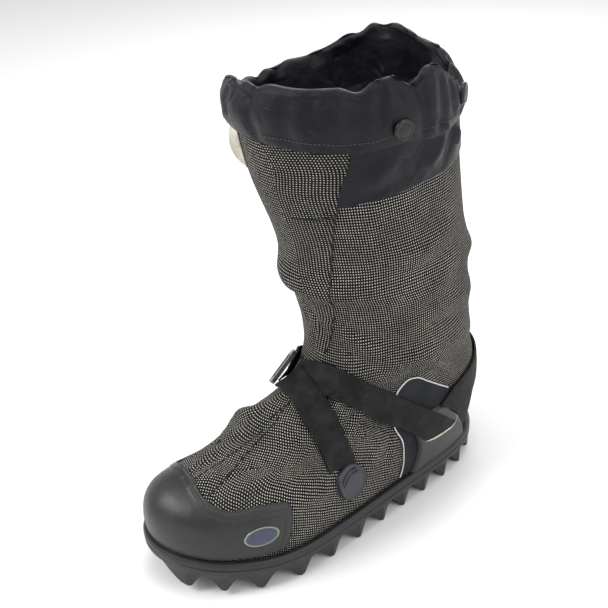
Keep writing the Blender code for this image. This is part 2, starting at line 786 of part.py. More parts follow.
def make_wing(name, side, wing_finish, liner_finish):
    """The strap guide on one side, with its slot, and the pale liner in the slot's lower lip."""
    reach = (84, 168) if side > 0 else (192, 276)
    start, end = (0, BALL_WIDTH * side)
    wing = shell("heel_wing_" + name, (0, 7), reach, WING_LOW, WING_HIGH, wing_finish)
    foot = RIM_HEIGHT + SEAT_GAP
    edge = [(y, max(z, foot)) for y, z in places(WING_EDGE)]
    outline = rounded(edge[1:-1], 0.004)
    outline = [(edge[0][0], foot)] + outline + [(edge[-1][0], foot)]
    cut(wing, prism("wing_outline_" + name, outline, "x", start, end), "INTERSECT")
    line = smooth_rows(np.array(places(SLOT_LINE)), 7)
    cut(wing, prism("wing_slot_" + name, band(line, SLOT_WIDTH), "x", start, end), "DIFFERENCE")
    liner = shell("slot_liner_" + name, (0, 7), reach, WING_LOW + SEAT_GAP, WING_HIGH + SEAT_GAP, liner_finish)
    liner_width = SLOT_WIDTH / 2 - SEAT_GAP
    lowered = line - (0, liner_width / 2)
    lowered = lowered[1:-1] if len(lowered) > 5 else lowered
    cut(liner, prism("liner_outline_" + name, band(lowered, liner_width), "x", start, end), "INTERSECT")


def make_flap(finish):
    flap = shell("front_flap", (7, 21), (-6, 62), SEAT_GAP, SEAT_GAP + FLAP_THICKNESS, finish)
    edge = [
        # x of the ball width, h
        (0.075, 0.672),
        (0.098, 0.725),
        (0.085, 0.800),
        (0.016, 0.990),
        (0.050, 1.100),
        (0.090, 1.200),
        (0.110, 1.280),
        (0.085, 1.360),
        (0.100, 1.480),
        (0.114, 1.590),
        (0.125, 1.670),
        (0.165, 1.760),
        (0.085, 1.840),
        (0.085, 1.880),
        (0.520, 1.880),
        (0.520, 1.830),
        (0.415, 1.620),
        (0.370, 1.560),
        (0.300, 1.400),
        (0.275, 1.270),
        (0.215, 1.170),
        (0.145, 1.040),
        (0.175, 0.900),
        (0.230, 0.810),
        (0.165, 0.720),
    ]
    outline = rounded([(x * BALL_WIDTH, float(height(h))) for x, h in edge], 0.004, 2)
    return cut(flap, prism("flap_outline", outline, "y", -HALF_LENGTH, 0.3 * HALF_LENGTH), "INTERSECT")


def make_gaiter(finish):
    gaiter = shell("gaiter", (18, 21), (30, 180), SEAT_GAP, SEAT_GAP + GAITER_THICKNESS, finish)
    edge = [
        # y, h
        (0.052, 1.860),
        (0.034, 1.800),
        (0.000, 1.690),
        (-0.008, 1.625),
        (0.109, 1.655),
        (0.250, 1.662),
        (0.420, 1.685),
        (0.580, 1.685),
        (0.700, 1.698),
        (1.000, 1.700),
        (1.000, 1.860),
    ]
    outline = rounded(places(edge), 0.004, 2)
    return cut(gaiter, prism("gaiter_outline", outline, "x", 0.0004, SHAFT_WIDTH), "INTERSECT")


def shaft_at(u, z, offset):
    """A point over the shaft at a height: along one column, carried on straight above the top row."""
    left = np.round(u * COLUMNS / (2 * np.pi)).astype(int) % COLUMNS
    top = GRID[LAST_ROW, left]
    found = np.empty(u.shape)
    first = ROW_STEPS.index(15)
    for i in np.ndindex(u.shape):
        found[i] = np.interp(z[i], GRID[first:, left[i], 2], np.arange(first, LAST_ROW + 1))
    point = skin(found, u, offset)
    rise = GRID[LAST_ROW, left] - GRID[LAST_ROW - 2, left]
    over = np.clip(z - top[..., 2], 0, None) / rise[..., 2]
    point = point + rise * over[..., None]
    point[..., 2] = z
    return point


def gathers(u):
    turn = np.mod(u / (2 * np.pi), 1.0)
    depth = np.zeros(u.shape)
    for centre, half, share in CUFF_GATHERS:
        away = np.abs(turn - centre)
        depth = np.maximum(depth, share * np.exp(-((away / half) ** 2)))
    return depth


def cuff_hem(u):
    turn = np.mod(u / (2 * np.pi), 1.0)
    return COLLAR_HEIGHT - CUFF_HEIGHT * curve(CUFF_HEM[:, 0], CUFF_HEM[:, 1], turn)


def make_cuff(finish):
    """The folded collar: an upside-down U over the upper's top edge, gathered by troughs."""
    u = np.arange(COLUMNS) * 2 * np.pi / COLUMNS
    rim = cuff_rim(u)
    hem = cuff_hem(u)
    puff = CUFF_STAND_OFF * (1 - gathers(u))
    inside = 4 * SEAT_GAP + FLAP_THICKNESS
    deep = -UPPER_WALL - 2 * SEAT_GAP
    tuck = rim - CUFF_TUCK
    edge_top = GRID[LAST_ROW, :, 2] + 3 * SEAT_GAP
    body = rim - hem
    section = [
        (inside + 0 * u, hem),
        (inside + CUFF_THICKNESS + 0 * u, hem),
        (inside + CUFF_THICKNESS + puff, hem + 0.18 * body),
        (inside + CUFF_THICKNESS + puff * 1.1, hem + 0.55 * body),
        (inside + CUFF_THICKNESS * 0.8 + puff * 0.5, hem + 0.90 * body),
        (-0.3 * UPPER_WALL + 0 * u, rim),
        (deep - CUFF_THICKNESS * 0.8 + 0 * u, rim - CUFF_THICKNESS),
        (deep - CUFF_THICKNESS + 0 * u, tuck),
        (deep + 0 * u, tuck),
        (deep + 0 * u, edge_top),
        (inside + 0 * u, edge_top),
    ]
    points = np.stack([shaft_at(u, z, offset) for offset, z in section])
    return ring_solid("cuff", points, finish)


def frame_at(point):
    """A point on the skin with its outward, level and upward directions."""
    row, u = find(point[None])
    here = skin(row, u, np.zeros(1))[0]
    out = skin(row, u, np.full(1, 0.001))[0] - here
    out /= np.linalg.norm(out)
    level = np.cross((0, 0, 1.0), out)
    level /= np.linalg.norm(level)
    return here, out, level, np.cross(out, level)


def make_snap(name, turn, rise, finish):
    """A turned cap: a low dome with a rounded edge, seated flat against the cuff."""
    u = np.full(1, turn * 2 * np.pi)
    z = np.full(1, COLLAR_HEIGHT - CUFF_HEIGHT * rise)
    stand = 4 * SEAT_GAP + FLAP_THICKNESS + CUFF_THICKNESS + CUFF_STAND_OFF * 1.1
    here = shaft_at(u, z, np.full(1, stand + 0.0005))[0]
    _, out, level, up = frame_at(here)
    profile = [(0.90, 0.0), (1.0, 0.25), (0.96, 0.70), (0.70, 0.92)]
    turns = np.arange(16) * 2 * np.pi / 16
    rings = []
    for reach, lift in profile:
        around = np.cos(turns)[:, None] * level + np.sin(turns)[:, None] * up
        rings.append(here + around * SNAP_RADIUS * reach + out * SNAP_THICKNESS * lift)
    points = np.concatenate(rings + [(here + out * SNAP_THICKNESS)[None], here[None]])
    faces = tube_faces(len(profile), 16, True)
    crown = len(profile) * 16
    for j in range(16):
        k = (j + 1) % 16
        faces.append((crown - 16 + j, crown - 16 + k, crown))
        faces.append((k, j, crown + 1))
    return solid(name, points, faces, finish)


def make_straps(webbing, tab_finish):
    clear = STRAP_CLEARANCE
    over_wing = WING_HIGH + clear
    over_flap = SEAT_GAP + FLAP_THICKNESS + clear
    over_strap = over_flap + STRAP_THICKNESS + clear * 1.6
    over_counter = SEAT_GAP + COUNTER_THICKNESS + clear
    lower = [
        # x, y, h
        (0.450, 0.466, 0.400),
        (0.455, 0.376, 0.474),
        (0.447, 0.279, 0.565),
        (0.439, 0.176, 0.649),
        (0.374, 0.042, 0.779),
        (0.171, -0.018, 0.786),
        (0.040, -0.070, 0.800),
        (-0.060, -0.115, 0.795),
    ]
    upper = [
        (0.398, 0.700, 0.372),
        (0.439, 0.539, 0.545),
        (0.431, 0.376, 0.688),
        (0.390, 0.230, 0.818),
        (0.309, 0.139, 0.896),
        (0.187, 0.079, 0.955),
        (0.060, 0.045, 0.950),
        (-0.060, 0.020, 0.915),
    ]
    lifts = [over_wing, over_wing, over_counter, over_counter, over_flap, over_flap, over_flap, over_flap]
    ribbon("strap_instep_lateral", lower, upper, lifts, STRAP_THICKNESS, webbing, 18)
    lower = [
        (-0.415, 0.466, 0.400),
        (-0.407, 0.376, 0.474),
        (-0.390, 0.279, 0.555),
        (-0.358, 0.158, 0.649),
        (-0.310, 0.012, 0.727),
        (-0.262, -0.085, 0.753),
    ]
    upper = [
        (-0.366, 0.700, 0.372),
        (-0.423, 0.539, 0.545),
        (-0.423, 0.376, 0.688),
        (-0.382, 0.230, 0.805),
        (-0.325, 0.121, 0.870),
        (-0.260, 0.060, 0.900),
    ]
    lifts = [over_wing, over_wing, over_counter, over_counter, clear, clear]
    ribbon("strap_instep_medial", lower, upper, lifts, STRAP_THICKNESS, webbing, 15)
    left = [
        (-0.060, -0.150, 0.770),
        (0.049, -0.158, 0.792),
        (0.220, -0.188, 0.753),
        (0.325, -0.188, 0.708),
        (0.431, -0.188, 0.636),
        (0.472, -0.188, 0.591),
        (0.520, -0.178, 0.536),
    ]
    right = [
        (-0.070, 0.005, 0.880),
        (0.024, 0.000, 0.851),
        (0.195, -0.012, 0.779),
        (0.325, -0.024, 0.708),
        (0.431, -0.024, 0.616),
        (0.472, -0.020, 0.560),
        (0.504, -0.015, 0.512),
    ]
    lifts = [over_strap, over_strap, over_strap, over_flap, over_flap, clear, clear]
    ribbon("strap_free_end", left, right, lifts, STRAP_THICKNESS, webbing, 16)
    left = [
        (0.524, -0.180, 0.528),
        (0.533, -0.178, 0.465),
        (0.537, -0.158, 0.390),
        (0.533, -0.121, 0.330),
        (0.528, -0.075, 0.298),
    ]
    right = [
        (0.506, -0.010, 0.504),
        (0.516, 0.018, 0.430),
        (0.522, 0.024, 0.355),
        (0.528, 0.010, 0.302),
        (0.528, -0.020, 0.284),
    ]
    ribbon("strap_tab", left, right, [clear] * 5, TAB_THICKNESS, tab_finish, 10)
    lower = [
        (0.385, 0.800, 0.338),
        (0.350, 0.848, 0.416),
        (0.300, 0.925, 0.468),
        (0.170, 1.030, 0.507),
        (0.000, 1.060, 0.520),
    ]
    upper = [
        (0.420, 0.648, 0.545),
        (0.382, 0.752, 0.610),
        (0.325, 0.885, 0.643),
        (0.170, 0.990, 0.675),
        (0.000, 1.035, 0.688),
    ]
    lower += [(-x, y, h) for x, y, h in lower[-2::-1]]
    upper += [(-x, y, h) for x, y, h in upper[-2::-1]]
    ribbon("strap_heel", lower, upper, [over_counter + clear / 2] * len(lower), STRAP_THICKNESS, webbing, 19)


def make_buckle(frame_finish, bar_finish):
    """A flat ladder frame with one bar, lying on the inner side of the instep over the webbing."""
    centre = spots([(-0.165, -0.040, 0.825)])[0]
    here, out, level, up = frame_at(centre)
    side = spots([(-0.165, 0.060, 0.900)])[0] - spots([(-0.165, -0.140, 0.760)])[0]
    wide = side - out * np.dot(side, out)
    wide /= np.linalg.norm(wide)
    along = np.cross(out, wide)
    reach = []
    for a in (-0.5, 0, 0.5):
        for b in (-0.5, 0, 0.5):
            spot = here + wide * BUCKLE_WIDTH * a + along * BUCKLE_LENGTH * b
            row, u = find(spot[None])
            reach.append(np.dot(skin(row, u, np.zeros(1))[0] - here, out))
    lift = max(max(reach), 0) + FLAP_THICKNESS + STRAP_THICKNESS + STRAP_CLEARANCE + 3 * SEAT_GAP
    frame = []
    for share in (1.0, 0.0):
        for z in (lift, lift + BUCKLE_THICKNESS):
            half_wide = BUCKLE_WIDTH / 2 - BUCKLE_RAIL * (1 - share)
            half_long = BUCKLE_LENGTH / 2 - BUCKLE_RAIL * (1 - share)
            corners = [(-half_wide, -half_long), (half_wide, -half_long), (half_wide, half_long), (-half_wide, half_long)]
            ring = rounded(corners, 0.005 if share else 0.002)
            frame.append([here + wide * a + along * b + out * z for a, b in ring])
    section = np.array([frame[0], frame[1], frame[3], frame[2]])
    ring_solid("buckle_frame", section, frame_finish)
    half_bar = BUCKLE_WIDTH / 2 - BUCKLE_RAIL - SEAT_GAP
    turns = np.arange(10) * 2 * np.pi / 10
    ends = []
    for a in (-half_bar, half_bar):
        middle = here + wide * a + out * (lift + BUCKLE_THICKNESS / 2)
        ends.append([middle + (along * math.cos(t) + out * math.sin(t)) * BAR_RADIUS for t in turns])
    faces = tube_faces(2, 10, True) + [tuple(range(10)), tuple(range(19, 9, -1))]
    solid("buckle_bar", np.concatenate(ends), faces, bar_finish)


def make_loop(finish):
    """The pale fabric loop under the cuff on the inner side: an arched strip between two seats."""
    left = [(-0.150, -0.215, 1.850), (-0.150, -0.210, 1.800), (-0.140, -0.200, 1.720)]
    right = [(-0.245, -0.195, 1.850), (-0.245, -0.190, 1.800), (-0.235, -0.180, 1.720)]
    low = SEAT_GAP + STRAP_CLEARANCE
    ribbon("flap_tab", left, right, [low, low + LOOP_BULGE, low], LOOP_THICKNESS, finish, 9, 3)


def build():
    remove_everything()
    sole_rubber = material("sole_rubber", (0.030, 0.031, 0.034), 0.55)
    cap_rubber = material("cap_rubber", (0.035, 0.035, 0.037), 0.50)
    wing_rubber = material("wing_rubber", (0.040, 0.041, 0.044), 0.45)
    tab_rubber = material("tab_rubber", (0.045, 0.047, 0.052), 0.50)
    fabric = material("dotted_fabric", (0.120, 0.115, 0.105), 0.85)
    flap_fabric = material("flap_fabric", (0.130, 0.125, 0.112), 0.85)
    nylon = material("black_nylon", (0.018, 0.020, 0.026), 0.60)
    gaiter_nylon = material("gaiter_nylon", (0.020, 0.022, 0.028), 0.60)
    counter_cloth = material("counter_cloth", (0.030, 0.034, 0.042), 0.80)
    webbing = material("webbing", (0.022, 0.023, 0.026), 0.75)
    footbed = material("footbed", (0.060, 0.060, 0.062), 0.90)
    badge_finish = material("badge_finish", (0.020, 0.022, 0.070), 0.40)
    pale_lining = material("pale_lining", (0.640, 0.620, 0.480), 0.70)
    buckle_plastic = material("buckle_plastic", (0.025, 0.026, 0.028), 0.40)
    bar_metal = material("bar_metal", (0.620, 0.620, 0.600), 0.30, 1.0)
    snap_finish = material("snap_finish", (0.022, 0.024, 0.028), 0.35)
    loop_fabric = material("loop_fabric", (0.620, 0.590, 0.500), 0.85)

    make_outsole(sole_rubber)
    make_insole(footbed)
    make_upper(fabric)
    make_flap(flap_fabric)
    make_toe_cap(cap_rubber)
    make_badge(badge_finish)
    make_counter(counter_cloth)
    make_wing("lateral", 1, wing_rubber, pale_lining)
    make_wing("medial", -1, wing_rubber, pale_lining)
    make_straps(webbing, tab_rubber)
    make_buckle(buckle_plastic, bar_metal)
    make_gaiter(gaiter_nylon)
    make_cuff(nylon)
    make_snap("snap_front", 0.225, 0.58, snap_finish)
    make_snap("snap_rear", 0.358, 0.48, snap_finish)
    make_loop(loop_fabric)


build()
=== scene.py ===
"""Insulated overshoe for the left foot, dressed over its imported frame.

Metres, toe along -Y, outer side along +X, +Z up. Angles round the shoe start at the toe and turn to the
outer side: 0 is the front, 90 degrees the outer side, 180 the heel, 270 the inner side.
"""
import math

import bpy
import numpy as np
from mathutils import Matrix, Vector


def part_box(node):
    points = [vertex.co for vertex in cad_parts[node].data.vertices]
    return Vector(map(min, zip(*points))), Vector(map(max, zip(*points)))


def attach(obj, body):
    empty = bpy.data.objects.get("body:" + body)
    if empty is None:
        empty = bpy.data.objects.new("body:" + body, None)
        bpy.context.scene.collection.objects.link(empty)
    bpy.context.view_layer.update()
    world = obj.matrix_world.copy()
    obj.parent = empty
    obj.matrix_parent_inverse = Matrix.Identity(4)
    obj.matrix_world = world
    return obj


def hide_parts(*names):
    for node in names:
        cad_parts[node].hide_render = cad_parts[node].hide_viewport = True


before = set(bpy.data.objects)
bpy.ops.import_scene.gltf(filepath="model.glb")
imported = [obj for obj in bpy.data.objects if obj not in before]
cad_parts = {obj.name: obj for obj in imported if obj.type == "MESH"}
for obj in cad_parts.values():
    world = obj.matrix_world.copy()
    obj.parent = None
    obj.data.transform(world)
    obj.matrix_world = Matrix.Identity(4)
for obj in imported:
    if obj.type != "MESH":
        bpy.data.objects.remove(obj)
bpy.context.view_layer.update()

# The floor, the light and the camera. The shoe stands on a plain pale floor under broad soft lamps, and
# is seen from its outer side and a little above, toe to the left, as in the photograph.
MM = 0.001


def make_mesh(name, points, faces):
    """One mesh object from an array of points and an array, or a list, of faces, shaded smooth."""
    mesh = bpy.data.meshes.new(name)
    mesh.from_pydata(np.asarray(points, float).reshape(-1, 3).tolist(), [],
        [tuple(f) for f in np.asarray(faces).tolist()])
    mesh.shade_smooth()
    made = bpy.data.objects.new(name, mesh)
    bpy.context.scene.collection.objects.link(made)
    return made


def new_finish(name, colour, roughness):
    """A Principled material with one colour and roughness: its tree, its shader and the material."""
    made = bpy.data.materials.new(name)
    made.use_nodes = True
    shader = made.node_tree.nodes["Principled BSDF"]
    shader.inputs["Base Color"].default_value = (*colour, 1)
    shader.inputs["Roughness"].default_value = roughness
    return made, made.node_tree, shader


floor_finish, tree, shader = new_finish("pale_floor", (0.86, 0.86, 0.86), 0.75)
floor = make_mesh("floor", [(-3, -3, 0), (3, -3, 0), (3, 3, 0), (-3, 3, 0)], [(0, 1, 2, 3)])
floor.data.materials.append(floor_finish)

world = bpy.data.worlds.new("studio")
world.use_nodes = True
world.node_tree.nodes["Background"].inputs["Color"].default_value = (1, 1, 1, 1)
world.node_tree.nodes["Background"].inputs["Strength"].default_value = 0.72
bpy.context.scene.world = world
bpy.context.scene.view_settings.view_transform = "Standard"

for name, place, target, size, watts in (
    # name, place, what it points at, side of the lamp, watts
    ("key_lamp", (-0.35, -1.25, 1.35), (0, -0.02, 0.16), 0.7, 19),
    ("side_lamp", (1.40, 0.40, 0.95), (0, 0.03, 0.18), 1.0, 9),
    ("top_lamp", (0.10, 0.15, 1.70), (0, 0, 0.20), 0.8, 8),
    ("back_lamp", (-1.00, 1.10, 1.10), (0, 0, 0.22), 0.9, 8),
):
    lamp = bpy.data.lights.new(name, "AREA")
    lamp.size = size
    lamp.energy = watts
    holder = bpy.data.objects.new(name, lamp)
    holder.location = place
    aim = np.array(target) - place
    holder.rotation_euler = (math.atan2(math.hypot(aim[0], aim[1]), -aim[2]), 0, math.atan2(-aim[0], aim[1]))
    bpy.context.scene.collection.objects.link(holder)

CAMERA_PLACE = (0.60448, -0.40790, 0.61672)
AZIMUTH, ELEVATION, TILT, ROLL = np.radians((55.99, 30.92, 1.15, -3.73))


def camera_axes():
    """Right, up and forward of the camera: turned by azimuth and elevation, tilted up, then rolled."""
    forward = np.array((
        -math.sin(AZIMUTH) * math.cos(ELEVATION),
        math.cos(AZIMUTH) * math.cos(ELEVATION),
        -math.sin(ELEVATION),
    ))
    right = np.cross(forward, (0, 0, 1))
    right /= np.linalg.norm(right)
    look = forward * math.cos(TILT) + np.cross(right, forward) * math.sin(TILT)
    up = np.cross(right, look)
    return (
        right * math.cos(ROLL) + up * math.sin(ROLL),
        up * math.cos(ROLL) - right * math.sin(ROLL),
        look,
    )


right, up, look = camera_axes()
lens = bpy.data.cameras.new("camera")
lens.lens = 61.27
lens.sensor_width = 36
camera = bpy.data.objects.new("camera", lens)
turned = np.eye(4)
turned[:3] = np.stack([right, up, -look, CAMERA_PLACE], 1)
camera.matrix_world = Matrix(turned)
bpy.context.scene.collection.objects.link(camera)
bpy.context.scene.camera = camera


# The upper: two layers of heavy woven cloth over an insulating layer, sewn into a tall shell that stands
# by itself. Black weave with pale dots in a grid. It sags a little, so folds cross it at the ankle,
# over the counter and behind the toe cap. It is stitched down into the outsole's rim.
HALF_LENGTH = 165 * MM
BALL_WIDTH = 123 * MM
FOOT_HEIGHT = 154 * MM
COLLAR_HEIGHT = 388 * MM
SHAFT_WIDTH = 160 * MM
CUFF_HEIGHT = 44 * MM
CUFF_CROWN = 7 * MM
RIM_HEIGHT = 27.6 * MM
RIM_LIP = 6 * MM
TOE_RIM_LIFT = 14.9 * MM
TOE_SPRING = 12.8 * MM
OUTER_CROWN = 2.2
SHOULDER = 0.364

# Rings up the shoe. Lengths are shares of half the sole's length. Heights run from 0 to 1 over the
# foot's height and from 1 to 2 over the shaft's rise.
RINGS = np.array([
    # front_y, front_h, back_y, back_h
    (-0.948, 0.240, 0.984, 0.140),
    (-0.966, 0.310, 1.008, 0.235),
    (-0.976, 0.377, 1.040, 0.325),
    (-0.966, 0.455, 1.064, 0.402),
    (-0.915, 0.523, 1.065, 0.468),
    (-0.833, 0.571, 1.066, 0.526),
    (-0.715, 0.598, 1.068, 0.584),
    (-0.582, 0.614, 1.064, 0.636),
    (-0.448, 0.669, 1.060, 0.688),
    (-0.315, 0.753, 1.049, 0.747),
    (-0.182, 0.792, 1.036, 0.818),
    (0.002, 0.850, 1.023, 0.903),
    (0.048, 1.000, 1.010, 1.010),
    (0.033, 1.114, 0.997, 1.103),
    (-0.016, 1.229, 0.984, 1.205),
    (-0.075, 1.282, 0.977, 1.270),
    (-0.066, 1.350, 0.951, 1.333),
    (-0.059, 1.410, 0.931, 1.393),
    (-0.088, 1.479, 0.910, 1.462),
    (-0.154, 1.615, 0.884, 1.598),
    (-0.209, 1.752, 0.858, 1.735),
    (-0.240, 1.880, 0.838, 1.850),
    (-0.253, 2.000, 0.824, 1.949),
])

# Half widths of the foot seen from above, as shares of the ball width, along the foot's length
PLAN = np.array([
    # share from toe, outer, inner
    (0.00, 0.000, 0.000),
    (0.03, 0.243, 0.220),
    (0.08, 0.385, 0.315),
    (0.15, 0.490, 0.380),
    (0.23, 0.557, 0.421),
    (0.31, 0.574, 0.424),
    (0.40, 0.553, 0.388),
    (0.50, 0.520, 0.337),
    (0.60, 0.485, 0.311),
    (0.70, 0.452, 0.307),
    (0.80, 0.411, 0.315),
    (0.88, 0.356, 0.293),
    (0.94, 0.276, 0.234),
    (0.98, 0.167, 0.146),
    (1.00, 0.000, 0.000),
])

# Half widths of the shaft, as shares of the shaft's width, by height
SHAFT = np.array([
    # height, outer, inner
    (0.175, 0.241, 0.229),
    (0.390, 0.278, 0.271),
    (0.584, 0.314, 0.301),
    (0.780, 0.350, 0.337),
    (0.974, 0.374, 0.367),
    (1.130, 0.396, 0.389),
    (1.280, 0.417, 0.411),
    (1.453, 0.439, 0.433),
    (1.624, 0.461, 0.456),
    (1.816, 0.489, 0.484),
    (2.020, 0.513, 0.507),
])

# The foot's plan draws in a little towards the sole and over the instep
FLARE = np.array([
    # height, factor
    (0.175, 0.955),
    (0.260, 0.985),
    (0.364, 1.000),
    (0.520, 0.990),
    (1.040, 0.900),
])

# How square the foot's cross-section is on its inner side, along the foot
INNER_CROWN = np.array([
    # y, power
    (-1.00, 1.95),
    (-0.73, 1.23),
    (-0.48, 0.90),
    (0.00, 1.70),
])
# The cuff's top edge round the collar, as shares of the cuff's height above the collar's height
CUFF_RIM = np.array([
    # turn, rise
    (0.000, 0.16),
    (0.120, 0.23),
    (0.185, 0.16),
    (0.217, 0.32),
    (0.245, 0.11),
    (0.283, 0.30),
    (0.325, 0.05),
    (0.361, -0.34),
    (0.403, -0.25),
    (0.450, -0.07),
    (0.500, 0.02),
    (0.555, 0.20),
    (0.597, 0.20),
    (0.640, 0.00),
    (0.680, -0.15),
    (0.720, -0.30),
    (0.765, -0.32),
    (0.805, -0.39),
    (0.850, -0.28),
    (0.920, 0.02),
    (1.000, 0.16),
])

def curve(knots, values, at):
    """A smooth curve through the knots: cubic pieces whose slopes are the knots' mean slopes."""
    slopes = np.gradient(values, knots, axis=0)
    at = np.clip(at, knots[0], knots[-1])
    left = np.clip(np.searchsorted(knots, at, side="right") - 1, 0, len(knots) - 2)
    step = knots[left + 1] - knots[left]
    t = (at - knots[left]) / step
    if values.ndim > 1:
        t, step = t[:, None], step[:, None]
    start = (2 * t**3 - 3 * t**2 + 1) * values[left] + (t**3 - 2 * t**2 + t) * step * slopes[left]
    end = (3 * t**2 - 2 * t**3) * values[left + 1] + (t**3 - t**2) * step * slopes[left + 1]
    return start + end


def height(share):
    """Height of a share: 0 to 1 over the foot, 1 to 2 over the shaft."""
    share = np.asarray(share, float)
    return np.where(share < 1, share * FOOT_HEIGHT, FOOT_HEIGHT + (share - 1) * (COLLAR_HEIGHT - FOOT_HEIGHT))


def toe_lift(y):
    """Toe spring: 0 up to the ball of the foot, then a parabola to 1 at the toe's tip."""
    start = -0.36 * HALF_LENGTH
    return np.clip((start - y) / (HALF_LENGTH + start), 0, 1.05) ** 2


def rim_height(y):
    return RIM_HEIGHT + TOE_RIM_LIFT * toe_lift(y)


def foot_half_width(share, side):
    """Half width at a share from the toe, read over the angle of a circle so both ends are round."""
    angle = np.arccos(1 - 2 * PLAN[:, 0])
    width = PLAN[:, side]
    knots = np.concatenate([-angle[3:0:-1], angle, 2 * np.pi - angle[-2:-5:-1]])
    values = np.concatenate([-width[3:0:-1], width, -width[-2:-5:-1]])
    return BALL_WIDTH * curve(knots, values, np.arccos(np.clip(1 - 2 * share, -1, 1)))


def larger(a, b, blend):
    """The larger of two widths, with a round fillet where they meet."""
    h = np.clip(0.5 + 0.5 * (a - b) / blend, 0, 1)
    return b * (1 - h) + a * h + blend * h * (1 - h)


def ring_edges(v):
    steps = np.arange(len(RINGS))
    front_y = curve(steps, RINGS[:, 0] * HALF_LENGTH, v)
    front_z = curve(steps, height(RINGS[:, 1]), v)
    back_y = curve(steps, RINGS[:, 2] * HALF_LENGTH, v)
    back_z = curve(steps, height(RINGS[:, 3]), v)
    return front_y, front_z, back_y, back_z


def cuff_rim(u):
    turn = np.mod(u / (2 * np.pi), 1.0)
    return COLLAR_HEIGHT + CUFF_HEIGHT * curve(CUFF_RIM[:, 0], CUFF_RIM[:, 1], turn)


def upper_form(v, u):
    """The upper's outer face at ring v and angle u.

    Each ring slants from its front point to its back point. Its half width is the larger of the
    foot's plan, rounded off towards the crest of the vamp, and the shaft's ellipse.
    """
    front_y, front_z, back_y, back_z = ring_edges(v)
    across = (1 - np.cos(u)) / 2
    outer = np.sin(u) >= 0
    ring_y = RINGS[:, 0] * HALF_LENGTH
    ring_z = height(RINGS[:, 1])
    z = front_z + (back_z - front_z) * across
    # the highest rings follow the cuff, and take the shaft's front and back at their own height
    reach = np.clip((v - 20) / 2, 0, 1)
    z = z + (cuff_rim(u) - CUFF_CROWN - z) * reach**1.5
    front_y = np.where(reach > 0, curve(ring_z[11:], ring_y[11:], z), front_y)
    back_y = np.where(reach > 0, curve(height(RINGS[:, 3]), RINGS[:, 2] * HALF_LENGTH, z), back_y)
    y = front_y + (back_y - front_y) * across
    tip = ring_y[2]
    crest = np.interp(np.sqrt(np.clip(y - tip, 0, None)), np.sqrt(ring_y[2:13] - tip), ring_z[2:13])
    shoulder = SHOULDER * FOOT_HEIGHT
    t = np.clip((z - shoulder) / np.maximum(crest - shoulder, 1e-6), 0, 1)
    power = np.where(outer, OUTER_CROWN, curve(INNER_CROWN[:, 0], INNER_CROWN[:, 1], y / HALF_LENGTH))
    crown = np.sqrt(np.maximum(1 - t**power, 0))
    toe_end = np.where(v < 2, front_y, tip)
    heel_end = curve(height(RINGS[:, 3]), RINGS[:, 2] * HALF_LENGTH, z)
    share = np.clip((y - toe_end) / (heel_end - toe_end), 0, 1)
    plan = np.where(outer, foot_half_width(share, 1), foot_half_width(share, 2))
    foot = plan * crown * curve(height(FLARE[:, 0]), FLARE[:, 1], z)
    shaft_heights = height(SHAFT[:, 0])
    shaft_outer = curve(shaft_heights, SHAFT[:, 1], z)
    shaft_inner = curve(shaft_heights, SHAFT[:, 2], z)
    shaft_half = SHAFT_WIDTH * np.where(outer, shaft_outer, shaft_inner)
    shaft_front = curve(ring_z[11:], ring_y[11:], z)
    middle = (shaft_front + heel_end) / 2
    ellipse = np.sqrt(np.maximum(1 - ((y - middle) / ((heel_end - shaft_front) / 2)) ** 2, 0))
    shaft = shaft_half * ellipse
    fillet_top = height(1.06)
    blend = 0.014 * np.minimum(1, ellipse * 1.5) * np.clip((fillet_top - z) / 0.040, 0, 1) + 1e-6
    half = np.where(v >= 12.5, shaft, larger(foot, shaft, blend))
    # the lowest rings settle on the sole's tray
    settle = np.clip(1 - v / 3, 0, 1)
    z = z + (rim_height(y) - RIM_LIP - z) * settle**1.5
    return np.stack([np.where(outer, half, -half), y, z], -1)


ROW_PLACES = [0, 1, 2, 3, 4, 5, 6, 7, 8, 9, 10, 10.5, 11, 11.5, 12, 13, 14, 15, 16.5, 18, 19.5, 21, 22]
LAST_ROW = len(ROW_PLACES) - 1
STEPS_PER_ROW = 11
AROUND = 320

